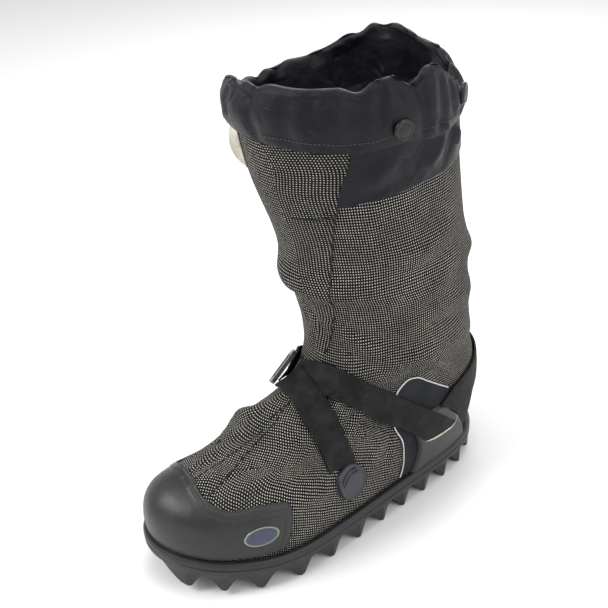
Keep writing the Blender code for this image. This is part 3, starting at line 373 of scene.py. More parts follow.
# Folds of the cloth: half width and depth (troughs above 0, ridges below), then the
# points that the fold follows
FOLDS = [
    # half width, depth, points, all in mm
    (9, -4.0, [(51, 46, 137), (54, 55, 145), (58, 68, 147), (58, 87, 138), (53, 112, 116)]),
    (5, 3.5, [(53, 50, 122), (56, 63, 130), (57, 76, 129), (55, 97, 116), (50, 116, 95)]),
    (8, -3.2, [(35, 153, 135), (56, 115, 147), (60, 90, 152), (59, 72, 151)]),
    (6, 3.2, [(36, 150, 156), (58, 113, 170), (62, 90, 175), (62, 72, 176)]),
    (7, -2.5, [(38, 149, 178), (60, 112, 190), (65, 88, 194)]),
    (6, 2.6, [(26, 14, 168), (36, 24, 154), (46, 36, 142), (51, 49, 126)]),
    (7, -2.6, [(32, 15, 182), (42, 30, 164), (52, 48, 150)]),
    (5, 2.0, [(22, 8, 196), (36, 22, 182), (50, 44, 172), (58, 64, 166)]),
    (5, 3.6, [(47, 2, 112), (53, 12, 104), (55, 24, 98), (57, 36, 88)]),
    (7, -3.0, [(54, 3, 96), (57, 16, 90), (60, 30, 78), (60, 41, 66)]),
    (7, -6.0, [(-30, -66, 86), (-24, -57, 101), (-8, -52, 112), (2, -42, 118)]),
    (5, 4.0, [(-24, -88, 88), (-8, -82, 97), (3, -75, 101), (10, -64, 107), (15, -48, 116)]),
    (6, -2.5, [(-20, -104, 90), (-4, -98, 95), (10, -90, 96)]),
    (4, 2.2, [(6, -128, 90), (4, -113, 92), (3, -97, 94)]),
    (5, -2.0, [(16, -126, 89), (15, -110, 92), (14, -95, 96), (16, -80, 100)]),
    (4, 2.0, [(27, -124, 86), (28, -108, 89), (32, -88, 93), (37, -72, 97)]),
    (5, -2.2, [(40, -118, 80), (42, -100, 86), (47, -80, 91), (54, -62, 92)]),
    (4, 1.8, [(50, -112, 77), (51, -96, 81), (57, -77, 83), (63, -58, 82)]),
    (6, -1.8, [(66, -64, 76), (67, -45, 70), (66, -25, 62)]),
    (5, 1.6, [(69, -60, 62), (69, -38, 55), (66, -12, 42)]),
    (4, 2.0, [(57, 41, 86), (60, 34, 69), (61, 31, 50)]),
    (5, -1.8, [(58, 28, 88), (62, 19, 72), (63, 15, 50)]),
    (5, -2.6, [(10, 6, 192), (2, 7, 178), (-5, 8, 162), (-9, 8, 150)]),
    (5, 2.4, [(1, 2, 204), (9, 4, 192), (14, 8, 178), (18, 12, 166)]),
    (5, 2.6, [(-20, 4, 200), (-8, 4, 190), (0, 6, 176)]),
    (8, -3.0, [(-34, -8, 232), (-14, -14, 228), (6, -10, 222)]),
    (7, 2.8, [(-36, -2, 216), (-16, -6, 212), (2, -4, 208)]),
    (9, -2.6, [(64, 30, 262), (69, 56, 252), (71, 80, 254), (66, 108, 262)]),
    (8, 2.0, [(60, 20, 240), (66, 44, 232), (68, 74, 234), (64, 106, 244)]),
    (9, -2.2, [(58, 22, 210), (63, 52, 206), (66, 84, 212), (60, 112, 226)]),
    (12, 2.2, [(77, 60, 318), (76, 72, 288), (72, 84, 262)]),
    (12, -2.0, [(70, 24, 310), (66, 20, 280), (60, 22, 250)]),
    (9, -3.2, [(44, 136, 236), (40, 142, 224), (30, 152, 214)]),
    (8, 3.0, [(44, 138, 210), (36, 148, 200), (26, 156, 192)]),
    (8, 2.8, [(-56, 40, 190), (-60, 70, 176), (-54, 110, 168)]),
    (9, -2.8, [(-58, 38, 212), (-63, 72, 200), (-57, 114, 190)]),
    (6, 3.0, [(-50, 44, 132), (-54, 70, 140), (-50, 100, 132)]),
    (8, -3.0, [(-52, 36, 156), (-57, 70, 160), (-52, 108, 150)]),
    (6, 2.4, [(-42, -60, 74), (-44, -30, 80), (-44, 0, 92)]),
    (10, -2.2, [(-66, 30, 280), (-68, 64, 268), (-64, 104, 276)]),
    (8, 2.4, [(0, 140, 258), (20, 138, 246), (-22, 140, 240)]),
]


def along(points, spacing):
    """A smooth run of points through the given ones, at an even spacing, by their distance along it."""
    points = np.asarray(points, float)
    reach = np.concatenate([[0], np.cumsum(np.linalg.norm(np.diff(points, axis=0), axis=1))])
    at = np.linspace(0, reach[-1], max(3, int(round(reach[-1] / spacing)) + 1))
    fine = np.linspace(0, reach[-1], 20 * len(at))
    line = np.stack([curve(reach, points[:, k], fine) for k in range(points.shape[1])], 1)
    length = np.concatenate([[0], np.cumsum(np.linalg.norm(np.diff(line, axis=0), axis=1))])
    return np.stack([np.interp(at / reach[-1] * length[-1], length,
        line[:, k]) for k in range(points.shape[1])], 1)


def distances(points, line):
    """The distance from each point to a run of points, and how far along it the nearest one lies (0 to 1)."""
    gap = np.linalg.norm(points[:, None] - line[None], axis=2)
    nearest = gap.argmin(1)
    return gap[np.arange(len(points)), nearest], nearest / (len(line) - 1)


def fold_depth(points):
    """How far every fold pushes each point in: a bell across the fold that fades out at its two ends."""
    flat = points.reshape(-1, 3)
    depth = np.zeros(len(flat))
    for half, deep, path in FOLDS:
        line = along(np.array(path) * MM, 2 * MM)
        low, high = line.min(0) - 3 * half * MM, line.max(0) + 3 * half * MM
        near = np.flatnonzero(((flat > low) & (flat < high)).all(1))
        gap, way = distances(flat[near], line)
        depth[near] += deep * MM * np.exp(-((gap / (half * MM)) ** 2)) * np.sin(np.pi * np.clip(way, 0.06,
            0.94)) ** 0.6
    return depth.reshape(points.shape[:-1])


def outward(points):
    """Unit outward directions of a grid of points: across the steps round the shoe and up it."""
    round_step = np.roll(points, -1, 1) - np.roll(points, 1, 1)
    away = np.cross(round_step, np.gradient(points, axis=0))
    away[0, :, 2] = 0
    return away / np.linalg.norm(away, axis=2)[..., None]


def make_form():
    """The upper's outer face: rings of upper_form, joined by smooth curves, eased at the ankle, folded.

    Gives the points, their outward directions, and the cloth's own lengths up and round, in metres.
    """
    rings = np.arange(len(RINGS), dtype=float)
    v, u = np.meshgrid(rings, np.arange(AROUND) * 2 * np.pi / AROUND, indexing="ij")
    rows = curve(rings, upper_form(v, u).reshape(len(rings), -1), np.array(ROW_PLACES, float))
    rows = rows.reshape(-1, AROUND, 3)
    side = round(AROUND / 36)
    for _ in range(2):
        level = (np.roll(rows, side, 1) + np.roll(rows, -side, 1)) / 2
        upright = (rows[8:14] + rows[10:16]) / 2
        rows[9:15] += 0.25 * (level[9:15] - rows[9:15]) + 0.25 * (upright - rows[9:15])
    at = np.linspace(0, LAST_ROW, LAST_ROW * STEPS_PER_ROW + 1)
    points = curve(np.arange(LAST_ROW + 1.0), rows.reshape(LAST_ROW + 1, -1), at).reshape(len(at), AROUND, 3)
    up = np.linalg.norm(np.diff(points, axis=0), axis=2)
    up = np.concatenate([np.zeros((1, AROUND)), np.cumsum(up, axis=0)])
    up -= up[14 * STEPS_PER_ROW]
    step = np.linalg.norm(np.roll(points, -1, 1) - points, axis=2)
    turn = np.concatenate([np.zeros((len(at), 1)), np.cumsum(step, axis=1)[:, :-1]], 1)
    turn = turn - turn[:, AROUND // 4][:, None]
    away = outward(points)
    points = points - away * fold_depth(points)[..., None]
    return points, outward(points), up, turn


FORM, AWAY, CLOTH_UP, CLOTH_ROUND = make_form()


def skin(row, u, lift=0.0):
    """Points over the upper's face: row is a place in ROW_PLACES, u an angle, lift a distance outwards."""
    column = np.mod(u, 2 * np.pi) * AROUND / (2 * np.pi)
    left = np.floor(column).astype(int) % AROUND
    right = (left + 1) % AROUND
    place = np.clip(row, 0, LAST_ROW) * STEPS_PER_ROW
    low = np.clip(np.floor(place).astype(int), 0, len(FORM) - 2)
    s = (column - np.floor(column))[..., None]
    t = (place - low)[..., None]

    def mix(table):
        under = table[low, left] * (1 - s) + table[low, right] * s
        over = table[low + 1, left] * (1 - s) + table[low + 1, right] * s
        return under * (1 - t) + over * t

    away = mix(AWAY)
    away /= np.linalg.norm(away, axis=-1)[..., None]
    return mix(FORM) + away * (np.zeros(np.shape(row)) + lift)[..., None]


def find(points):
    """Rows and angles of the face nearest to each point: the nearest of the grid's points, then steps."""
    target = np.asarray(points, float).reshape(-1, 3)
    coarse = FORM[::3, ::2].reshape(-1, 3)
    best = np.concatenate([
        ((coarse[None] - part[:, None]) ** 2).sum(2).argmin(1) for part in np.array_split(target,
        len(target) // 60 + 1)
    ])
    row = (best // (AROUND // 2)) * 3 / STEPS_PER_ROW
    u = (best % (AROUND // 2)) * 2 * 2 * np.pi / AROUND
    for _ in range(8):
        here = skin(row, u)
        along_row = (skin(row + 0.05, u) - skin(row - 0.05, u)) / 0.1
        along_u = (skin(row, u + 0.02) - skin(row, u - 0.02)) / 0.04
        miss = target - here
        a, b, c = (along_row**2).sum(1), (along_row * along_u).sum(1), (along_u**2).sum(1)
        p, q = (along_row * miss).sum(1), (along_u * miss).sum(1)
        det = a * c - b * b + 1e-18
        row = np.clip(row + np.clip((c * p - b * q) / det, -0.3, 0.3) * 0.7, 0, LAST_ROW)
        u = u + np.clip((a * q - b * p) / det, -0.1, 0.1) * 0.7
    shape = np.shape(points)[:-1]
    return row.reshape(shape), u.reshape(shape)


def grid_faces(rows, columns, closed=False, start=0):
    """Quads of a grid of rows by columns, closed round the columns if asked."""
    i, j = np.meshgrid(np.arange(rows - 1), np.arange(columns if closed else columns - 1), indexing="ij")
    k = (j + 1) % columns
    quads = np.stack([i * columns + j, i * columns + k, (i + 1) * columns + k, (i + 1) * columns + j], -1)
    return quads.reshape(-1, 4) + start


def lay_cloth(piece, across, up):
    """The cloth's own lengths, in metres, as the piece's UV map: across and up at each vertex."""
    layer = piece.data.uv_layers.new(name="cloth")
    corner = np.empty(len(piece.data.loops), int)
    piece.data.loops.foreach_get("vertex_index", corner)
    layer.data.foreach_set("uv", np.stack([np.ravel(across)[corner], np.ravel(up)[corner]], 1).ravel())


def node(tree, kind, values=None, **settings):
    """A node of a tree with its settings, and its sockets set to numbers or linked to other sockets."""
    made = tree.nodes.new(kind)
    for key, value in settings.items():
        setattr(made, key, value)
    for key, value in (values or {}).items():
        if isinstance(value, bpy.types.NodeSocket):
            tree.links.new(value, made.inputs[key])
        else:
            made.inputs[key].default_value = value
    return made


def sums(tree, operation, first, second=0.0, third=0.0):
    """The output of a Math node."""
    return node(tree, "ShaderNodeMath", {0: first, 1: second, 2: third}, operation=operation).outputs[0]


def ramp(tree, factor, stops):
    """The colour output of a Color Ramp with (place, grey or colour) stops."""
    made = node(tree, "ShaderNodeValToRGB", {0: factor})
    line = made.color_ramp
    while len(line.elements) < len(stops):
        line.elements.new(0.5)
    for element, (at, tone) in zip(line.elements, stops):
        element.position = at
        element.color = (*tone, 1) if isinstance(tone, tuple) else (tone, tone, tone, 1)
    return made.outputs[0]


def noise(tree, place, scale, detail=3.0, roughness=0.5):
    """The grey output of a Noise Texture at a place."""
    values = {"Vector": place, "Scale": scale, "Detail": detail, "Roughness": roughness}
    return node(tree, "ShaderNodeTexNoise", values).outputs["Fac"]


def bump(tree, shader, height, depth, strength=1.0):
    """Puts a height field on a shader's normal: depth is the height of 1, in metres."""
    values = {"Height": height, "Distance": depth, "Strength": strength}
    tree.links.new(node(tree, "ShaderNodeBump", values).outputs[0], shader.inputs["Normal"])


DOT_ACROSS = 2.05 * MM
DOT_UP = 2.55 * MM


def dotted_cloth(name, dark, pale, warmth):
    """Black weave with a pale dot in each cell of a grid, uneven as woven yarn is.

    A dot is where both distances from its cell's middle are small; noise varies its size and tone.
    """
    made, tree, shader = new_finish(name, dark, 0.85)
    cloth = node(tree, "ShaderNodeUVMap", uv_map="cloth").outputs[0]
    place = node(tree, "ShaderNodeTexCoord").outputs["Object"]
    drift = noise(tree, place, 60.0, 2.0)
    apart = node(tree, "ShaderNodeSeparateXYZ", {0: cloth})
    across = sums(tree, "MULTIPLY_ADD", apart.outputs[0], 1 / DOT_ACROSS, sums(tree, "MULTIPLY", drift, 0.5))
    upward = sums(tree, "MULTIPLY_ADD", apart.outputs[1], 1 / DOT_UP, sums(tree, "MULTIPLY", drift, 0.4))
    off_across = sums(tree, "ABSOLUTE", sums(tree, "SUBTRACT", sums(tree, "FRACT", across), 0.5))
    off_up = sums(tree, "ABSOLUTE", sums(tree, "SUBTRACT", sums(tree, "FRACT", upward), 0.5))
    uneven = noise(tree, place, 900.0, 2.0)
    size = sums(tree, "MULTIPLY_ADD", uneven, 0.22, 0.085)
    wide = sums(tree, "SMOOTH_MIN", sums(tree, "SUBTRACT", size, off_across),
        sums(tree, "SUBTRACT", size, off_up), 0.1)
    dot = ramp(tree, sums(tree, "MULTIPLY_ADD", wide, 5.0, 0.5), [(0.35, 0.0), (0.75, 1.0)])
    worn = noise(tree, place, 28.0, 4.0, 0.6)
    tone = ramp(tree, worn, [(0.30, tuple(0.62 * c for c in pale)), (0.70, pale)])
    ground = ramp(tree, noise(tree, place, 45.0, 3.0), [(0.3, dark), (0.8, warmth)])
    mixed = node(tree, "ShaderNodeMix", {0: dot, 6: ground, 7: tone}, data_type="RGBA").outputs[2]
    tree.links.new(mixed, shader.inputs["Base Color"])
    thread = noise(tree, place, 2600.0, 1.0)
    bump(tree, shader, sums(tree, "MULTIPLY_ADD", thread, 0.35, dot), 0.25 * MM, 0.6)
    shader.inputs["Specular IOR Level"].default_value = 0.12
    shader.inputs["Sheen Weight"].default_value = 0.02
    return made


UPPER_WALL = 3 * MM
shell_cloth = dotted_cloth("shell_cloth", (0.004, 0.004, 0.0045), (0.68, 0.645, 0.57), (0.014, 0.013, 0.012))
inner_rows = np.repeat(np.linspace(0, LAST_ROW, 90)[:, None], 120, 1)
inner_turns = np.repeat(np.arange(120)[None] * 2 * np.pi / 120, 90, 0)
inside = skin(inner_rows, inner_turns)
inward = inside - skin(inner_rows, inner_turns, 1.0)
for _ in range(8):
    inside[1:-1] = (inside[:-2] + inside[2:] + np.roll(inside, 1, 1)[1:-1] + np.roll(inside, -1, 1)[1:-1]) / 4
    inward = inward + np.roll(inward, 1, 1) + np.roll(inward, -1, 1)
    inward /= np.linalg.norm(inward, axis=2)[..., None]
inside += inward * (UPPER_WALL + 2.5 * MM * np.clip((LAST_ROW - inner_rows) / 4, 0, 1))[..., None]
points = np.concatenate([FORM.reshape(-1, 3), inside.reshape(-1, 3)])
faces = np.concatenate([
    grid_faces(len(FORM), AROUND, True),
    grid_faces(90, 120, True, FORM.size // 3)[:, ::-1],
])
upper = make_mesh("upper_cloth", points, faces)
lay_cloth(
    upper,
    np.concatenate([CLOTH_ROUND.ravel(), inner_turns.ravel() * 0.07]),
    np.concatenate([CLOTH_UP.ravel(), inner_rows.ravel() * 0.02]),
)
upper.data.materials.append(shell_cloth)
lining, tree, shader = new_finish("lining", (0.016, 0.017, 0.020), 0.9)
bump(tree, shader, noise(tree, node(tree, "ShaderNodeTexCoord").outputs["Object"], 900.0), 0.2 * MM)
upper.data.materials.append(lining)
is_inside = np.arange(len(upper.data.polygons)) >= (len(FORM) - 1) * AROUND
upper.data.polygons.foreach_set("material_index", is_inside.astype(int))
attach(upper, "root")
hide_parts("upper")

# The front flap: a strip of the same cloth sewn to the shaft along its outer edge and folded back along
# its free inner edge, from the collar over the instep onto the vamp. A dark bead along that fold is
# painted shade under its edge. Dark seams run beside and across it.
FLAP_INNER = [
    (12, -36, 352), (19, -32, 334), (15, -28, 311), (14, -22, 291), (12, -14, 267), (10, -10, 239),
    (17, -6, 218), (12, 2, 195), (8, 7, 177), (3, 8, 154),
]
FLAP_OUTER = [
    (66, 4, 356), (65, 3, 340), (55, 0, 305), (51, -1, 297), (44, 0, 274), (37, 2, 245), (34, 2, 220),
    (28, 9, 197), (18, 12, 170), (12, 12, 154),
]


def coons(low, high, left, right):
    """A patch between four edges: both ruled surfaces added, less the one ruled between the corners."""
    s = np.linspace(0, 1, len(low))[None, :, None]
    t = np.linspace(0, 1, len(left))[:, None, None]
    ruled_up = (1 - t) * low[None] + t * high[None]
    ruled_on = (1 - s) * left[:, None] + s * right[:, None]
    corners = (1 - s) * (1 - t) * low[0] + s * (1 - t) * low[-1] + (1 - s) * t * high[0] + s * t * high[-1]
    return ruled_up + ruled_on - corners


def edge_places(points, count):
    """Rows and angles along an edge given by points in mm."""
    points = np.asarray(points, float)
    line = along(points * MM, 1 * MM)
    at = np.linspace(0, len(line) - 1, count)
    line = np.stack([np.interp(at, np.arange(len(line)), line[:, k]) for k in range(3)], 1)
    row, u = find(line)
    return np.stack([row, np.unwrap(u)], 1)


def overlay(name, low, high, left, right, size, open_edges, lift):
    """A piece of sheet on the upper between four edges; the lower one may be left to run straight.

    Lift is a function of the distance from its open edges, in metres. That distance, and the length
    along those edges, are kept as the UV map "edge", for its stitches.
    """
    rows, columns = size
    top, first, last = edge_places(high, columns), edge_places(left, rows), edge_places(right, rows)
    first[:, 1] += 2 * np.pi * np.round((top[0, 1] - first[-1, 1]) / (2 * np.pi))
    last[:, 1] += 2 * np.pi * np.round((top[-1, 1] - last[-1, 1]) / (2 * np.pi))
    if low is None:
        under = np.linspace(first[0], last[0], columns)
    else:
        under = edge_places(low, columns)
        under[:, 1] += 2 * np.pi * np.round((first[0, 1] - under[0, 1]) / (2 * np.pi))
    place = coons(under, top, first, last)
    row, u = place[..., 0], place[..., 1]
    base = skin(row, u)
    lines = {"low": base[0], "high": base[-1], "left": base[::-1, 0], "right": base[:, -1]}
    border = np.concatenate([along(lines[key], 1 * MM) for key in open_edges])
    flat = base.reshape(-1, 3)
    parts = [distances(part, border) for part in np.array_split(flat, len(flat) // 4000 + 1)]
    gap = np.concatenate([p[0] for p in parts])
    run = np.concatenate([p[1] for p in parts]) * len(border) * MM
    up = skin(row, u, 1.0) - base
    points = base + up * lift(gap).reshape(row.shape)[..., None]
    piece = make_mesh(name, points, grid_faces(rows, columns))
    layer = piece.data.uv_layers.new(name="edge")
    corner = np.empty(len(piece.data.loops), int)
    piece.data.loops.foreach_get("vertex_index", corner)
    layer.data.foreach_set("uv", np.stack([run[corner], gap[corner]], 1).ravel())
    width = np.linalg.norm(np.diff(base, axis=1), axis=2)
    rise = np.linalg.norm(np.diff(base, axis=0), axis=2)
    across = np.concatenate([np.zeros((rows, 1)), np.cumsum(width, axis=1)], 1)
    upward = np.concatenate([np.zeros((1, columns)), np.cumsum(rise, axis=0)])
    lay_cloth(piece, across, upward)
    return piece


def rounded_lift(thick, radius):
    """A sheet's thickness at a distance from its edge: a quarter circle that rises to the full thickness."""
    return lambda gap: thick * np.sqrt(np.clip(1 - (1 - np.clip(gap / radius, 0, 1)) ** 2, 0, 1)) - 0.15 * MM


def strip(name, points, profile, finish, spacing=1.2, ends=True):
    """A bead, seam or piping over the upper: a closed profile of (across, lift) carried along a path."""
    row, u = find(along(np.array(points) * MM, spacing * MM))
    middle = skin(row, u)
    up = skin(row, u, 1.0) - middle
    forward = np.gradient(middle, axis=0)
    aside = np.cross(forward, up)
    aside /= np.linalg.norm(aside, axis=1)[:, None]
    shape = np.array(profile) * MM
    if (shape[:, 0] * np.roll(shape[:, 1], -1) - shape[:, 1] * np.roll(shape[:, 0], -1)).sum() < 0:
        shape = shape[::-1]
    taper = np.ones(len(middle))
    if ends:
        taper[[0, -1]] = 0.15
    ring = middle[:, None] + aside[:, None] * (shape[:, 0] * taper[:, None])[..., None]
    ring = ring + up[:, None] * (shape[:, 1] * taper[:, None])[..., None]
    piece = make_mesh(name, ring, grid_faces(len(middle), len(shape), True)[:, ::-1])
    piece.data.materials.append(finish)
    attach(piece, "root")
    return piece


flap_cloth = dotted_cloth("flap_cloth", (0.004, 0.004, 0.0045), (0.63, 0.595, 0.525), (0.014, 0.013, 0.012))
flap = overlay(
    "flap_cloth_panel", FLAP_INNER[::-1], FLAP_OUTER[::-1], [FLAP_INNER[-1], (7, 10, 154), FLAP_OUTER[-1]],
    [FLAP_INNER[0], (40, -20, 356), FLAP_OUTER[0]], (60, 260), ["low"],
    lambda gap: 1.6 * MM * np.sqrt(np.clip(1 - (1 - np.clip(gap / MM, 0, 1)) ** 2, 0, 1))
    * (1 - 0.75 * np.clip(gap / (26 * MM), 0, 1)) - 0.1 * MM,
)
flap.data.flip_normals()
flap.data.materials.append(flap_cloth)
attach(flap, "root")
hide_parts("front_flap")

seam_thread, tree, shader = new_finish("seam_thread", (0.008, 0.008, 0.009), 0.8)
bump(tree, shader, noise(tree, node(tree, "ShaderNodeTexCoord").outputs["Object"], 1500.0), 0.1 * MM)
SEAM = [(-0.55, 0.1), (-0.3, 0.45), (0.3, 0.45), (0.55, 0.1)]
SEAM_HIGH = [(-0.5, 0.5), (-0.3, 1.3), (0.3, 1.3), (0.5, 0.5)]
for name, points, profile in (
    # The dark bead along the flap's folded edge is painted shade under that edge.
    ("flap_fold_shade", FLAP_INNER, [(-0.9, 0.0), (-0.9, 0.8), (-0.3, 1.0), (0.2, 0.1)]),
    ("seam_flap_outer", FLAP_OUTER, [(-0.7, 0.1), (-0.4, 0.8), (0.4, 0.8), (0.7, 0.1)]),
    ("seam_front", [(12, -22, 293), (22, -20, 291), (36, -13, 292), (52, -1, 296)], SEAM_HIGH),
    ("seam_vamp", [(31, -124, 85), (26, -104, 90), (20, -75, 100), (17, -50, 115), (11, -28, 121)], SEAM),
    ("seam_vamp_inner", [(11, -126, 90), (12, -105, 93), (12, -72, 104), (12, -44, 118), (11, -29, 121)],
    SEAM),
    ("seam_ankle", [(14, 9, 158), (24, 14, 160), (34, 21, 158)], SEAM),
    ("seam_inner", [(-44, -60, 50), (-48, -20, 66), (-50, 30, 90), (-56, 60, 130), (-60, 70, 200),
    (-70, 66, 300), (-74, 60, 345)], SEAM),
    ("seam_back", [(0, 170, 92), (0, 166, 154), (0, 158, 200), (0, 150, 250), (0, 143, 300),
    (0, 139, 345)], SEAM),
):
    strip(name, points, profile, seam_thread)

# The toe cap: moulded rubber, pebbled all over, with a thin lip, a stitched groove, a flat band and a
# second stitched groove round its edge. Its foot is sewn and bonded inside the outsole's rim.
CAP_TOP = [
    (-62, -81, 66), (-56, -92, 67), (-49, -104, 69), (-42, -114, 71), (-33, -122, 76), (-18, -127, 86),
    (-2, -127, 91),
    (12, -127, 90), (23, -128, 87), (35, -127, 83), (43, -122, 79), (50, -114, 76), (54, -104, 76),
    (58, -92, 76),
    (62, -81, 76), (65, -73, 75),
]
CAP_OUTER = [(67, -79, 34), (69, -74, 47), (70, -71, 62), (68, -71, 70), (65, -73, 75)]
CAP_INNER = [(-50, -78, 34), (-50, -73, 46), (-49, -71, 58), (-46, -73, 66)]
GROOVES = (1.9 * MM, 7.6 * MM)


def cap_lift(gap):
    """Lip, groove, band, groove, field: the sheet's rounded edge less a bell-shaped groove at each seam."""
    lift = 2.4 * MM * np.sqrt(np.clip(1 - (1 - np.clip(gap / (1.2 * MM), 0, 1)) ** 2, 0, 1))
    for at in GROOVES:
        lift -= 0.8 * MM * np.exp(-(((gap - at) / (0.65 * MM)) ** 2))
    lift -= 0.5 * MM * np.clip((gap - 7.6 * MM) / (1.0 * MM), 0, 1)
    return lift + 0.9 * MM * np.clip((gap - 8.5 * MM) / (14 * MM), 0, 1) - 0.2 * MM


def moulded_rubber(name, colour, roughness, grain, depth, seams=()):
    """Dark rubber with a pebbled grain, scuffed paler in patches, and its stitched grooves, if it has any, painted
    near black as shade under paler stitches.
    """
    made, tree, shader = new_finish(name, colour, roughness)
    place = node(tree, "ShaderNodeTexCoord").outputs["Object"]
    cells = node(tree, "ShaderNodeTexVoronoi", {"Vector": place, "Scale": grain},
        feature="SMOOTH_F1").outputs["Distance"]
    scuff = noise(tree, place, 22.0, 5.0, 0.65)
    dust = noise(tree, place, 140.0, 4.0, 0.6)
    mixed = ramp(tree, sums(tree, "MULTIPLY_ADD", dust, 0.35, scuff), [
        (0.45, tuple(0.72 * c for c in colour)), (0.70, colour), (0.95, tuple(1.7 * c for c in colour)),
    ])
    height = sums(tree, "MULTIPLY", cells, 0.8)
    if seams:
        edge = node(tree, "ShaderNodeSeparateXYZ",
            {0: node(tree, "ShaderNodeUVMap", uv_map="edge").outputs[0]})
        dark = None
        for at in seams:
            off = sums(tree, "ABSOLUTE", sums(tree, "SUBTRACT", edge.outputs[1], at))
            line = ramp(tree, sums(tree, "MULTIPLY", off, 1 / MM), [(0.25, 1.0), (0.62, 0.0)])
            dark = line if dark is None else sums(tree, "MAXIMUM", dark, line)
        dash = sums(tree, "FRACT", sums(tree, "MULTIPLY", edge.outputs[0], 1 / (2.8 * MM)))
        stitch = ramp(tree, sums(tree, "ABSOLUTE", sums(tree, "SUBTRACT", dash, 0.5)),
            [(0.30, 1.0), (0.38, 0.0)])
        thread = sums(tree, "MULTIPLY", dark, stitch)
        # The groove lines are painted near black: painted shade in the grooves, under the stitches' own paler thread
        # colour.
        black = node(tree, "ShaderNodeMix", {0: dark, 6: mixed, 7: (0.004, 0.004, 0.005, 1)},
            data_type="RGBA").outputs[2]
        shown = sums(tree, "MULTIPLY", thread, 0.55)
        mixed = node(tree, "ShaderNodeMix", {0: shown, 6: black, 7: (0.06, 0.06, 0.064, 1)},
            data_type="RGBA").outputs[2]
        height = sums(tree, "MULTIPLY_ADD", thread, 1.5, height)
    tree.links.new(mixed, shader.inputs["Base Color"])
    rough = ramp(tree, scuff, [(0.3, roughness - 0.08), (0.8, roughness + 0.12)])
    tree.links.new(rough, shader.inputs["Roughness"])
    bump(tree, shader, sums(tree, "MULTIPLY_ADD", dust, 0.3, height), depth)
    shader.inputs["Specular IOR Level"].default_value = 0.45
    return made


cap_rubber = moulded_rubber("cap_rubber", (0.015, 0.015, 0.0165), 0.38, 950.0, 0.16 * MM, GROOVES)
cap = overlay("toe_cap_moulding", None, CAP_TOP, CAP_INNER, CAP_OUTER, (120, 280),
    ["left", "high", "right"], cap_lift)
cap.data.materials.append(cap_rubber)
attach(cap, "root")
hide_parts("toe_cap")

# The badge: a plain domed oval of navy enamel in a thin pale rim, pressed into the cap's outer side.
BADGE_HALVES = (15 * MM, 8.5 * MM)


def local_piece(name, centre, ahead, halves, power, lift, rounds, turns):
    """A round-edged piece on the upper: rings of a superellipse about its centre, laid on the skin.

    Lift gives the height from the share of the way out (0 to 1) and the places along and across it.
    """
    row, u = find(np.array([centre]) * MM)
    here = skin(row, u)[0]
    out = skin(row, u, 1.0)[0] - here
    ahead = np.array(ahead, float)
    ahead -= out * ahead.dot(out)
    ahead /= np.linalg.norm(ahead)
    aside = np.cross(out, ahead)
    r, a = np.meshgrid(np.linspace(0.004, 1, rounds), np.arange(turns) * 2 * np.pi / turns, indexing="ij")
    size = (np.abs(np.cos(a)) ** power + np.abs(np.sin(a)) ** power) ** (-1 / power)
    x, y = r * size * np.cos(a) * halves[0], r * size * np.sin(a) * halves[1]
    row, u = find(here + x[..., None] * ahead + y[..., None] * aside)
    base = skin(row, u)
    points = base + (skin(row, u, 1.0) - base) * lift(r, x, y, a)[..., None]
    piece = make_mesh(name, points, grid_faces(rounds, turns, True)[:, ::-1])
    layer = piece.data.uv_layers.new(name="edge")
    corner = np.empty(len(piece.data.loops), int)
    piece.data.loops.foreach_get("vertex_index", corner)
    layer.data.foreach_set("uv", np.stack([x.ravel()[corner], y.ravel()[corner]], 1).ravel())
    return piece


def badge_lift(r, x, y, a):
    """A low dome inside a raised rim, which drops to the cap at its edge."""
    rim = 0.5 * np.exp(-(((r - 0.93) / 0.045) ** 2))
    dome = 0.45 * (1 - r**2)
    return (2.3 + 0.5 + dome + rim - 1.6 * np.clip((r - 0.96) / 0.04, 0, 1)) * MM


badge = local_piece("badge_plate", (65.5, -99, 54.5), (0, 1, 0.02), BADGE_HALVES, 2.0, badge_lift, 40, 96)
badge_enamel, tree, shader = new_finish("badge_enamel", (0.006, 0.008, 0.035), 0.28)
edge = node(tree, "ShaderNodeSeparateXYZ", {0: node(tree, "ShaderNodeUVMap", uv_map="edge").outputs[0]})
long_way = sums(tree, "POWER", sums(tree, "MULTIPLY", edge.outputs[0], 1 / BADGE_HALVES[0]), 2.0)
short_way = sums(tree, "POWER", sums(tree, "MULTIPLY", edge.outputs[1], 1 / BADGE_HALVES[1]), 2.0)
way_out = sums(tree, "SQRT", sums(tree, "ADD", long_way, short_way))
place = node(tree, "ShaderNodeTexCoord").outputs["Object"]
cloudy = noise(tree, place, 260.0, 3.0)
enamel = ramp(tree, cloudy, [(0.3, (0.008, 0.009, 0.040)), (0.75, (0.022, 0.026, 0.085))])
rim_tone = ramp(tree, way_out, [(0.84, 0.0), (0.88, 1.0), (0.95, 1.0), (0.98, 0.0)])
mixed = node(tree, "ShaderNodeMix", {0: rim_tone, 6: enamel, 7: (0.16, 0.24, 0.13, 1)},
    data_type="RGBA").outputs[2]
tree.links.new(mixed, shader.inputs["Base Color"])
bump(tree, shader, cloudy, 0.05 * MM)
shader.inputs["Coat Weight"].default_value = 0.6
shader.inputs["Coat Roughness"].default_value = 0.15
badge.data.materials.append(badge_enamel)
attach(badge, "root")
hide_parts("badge")

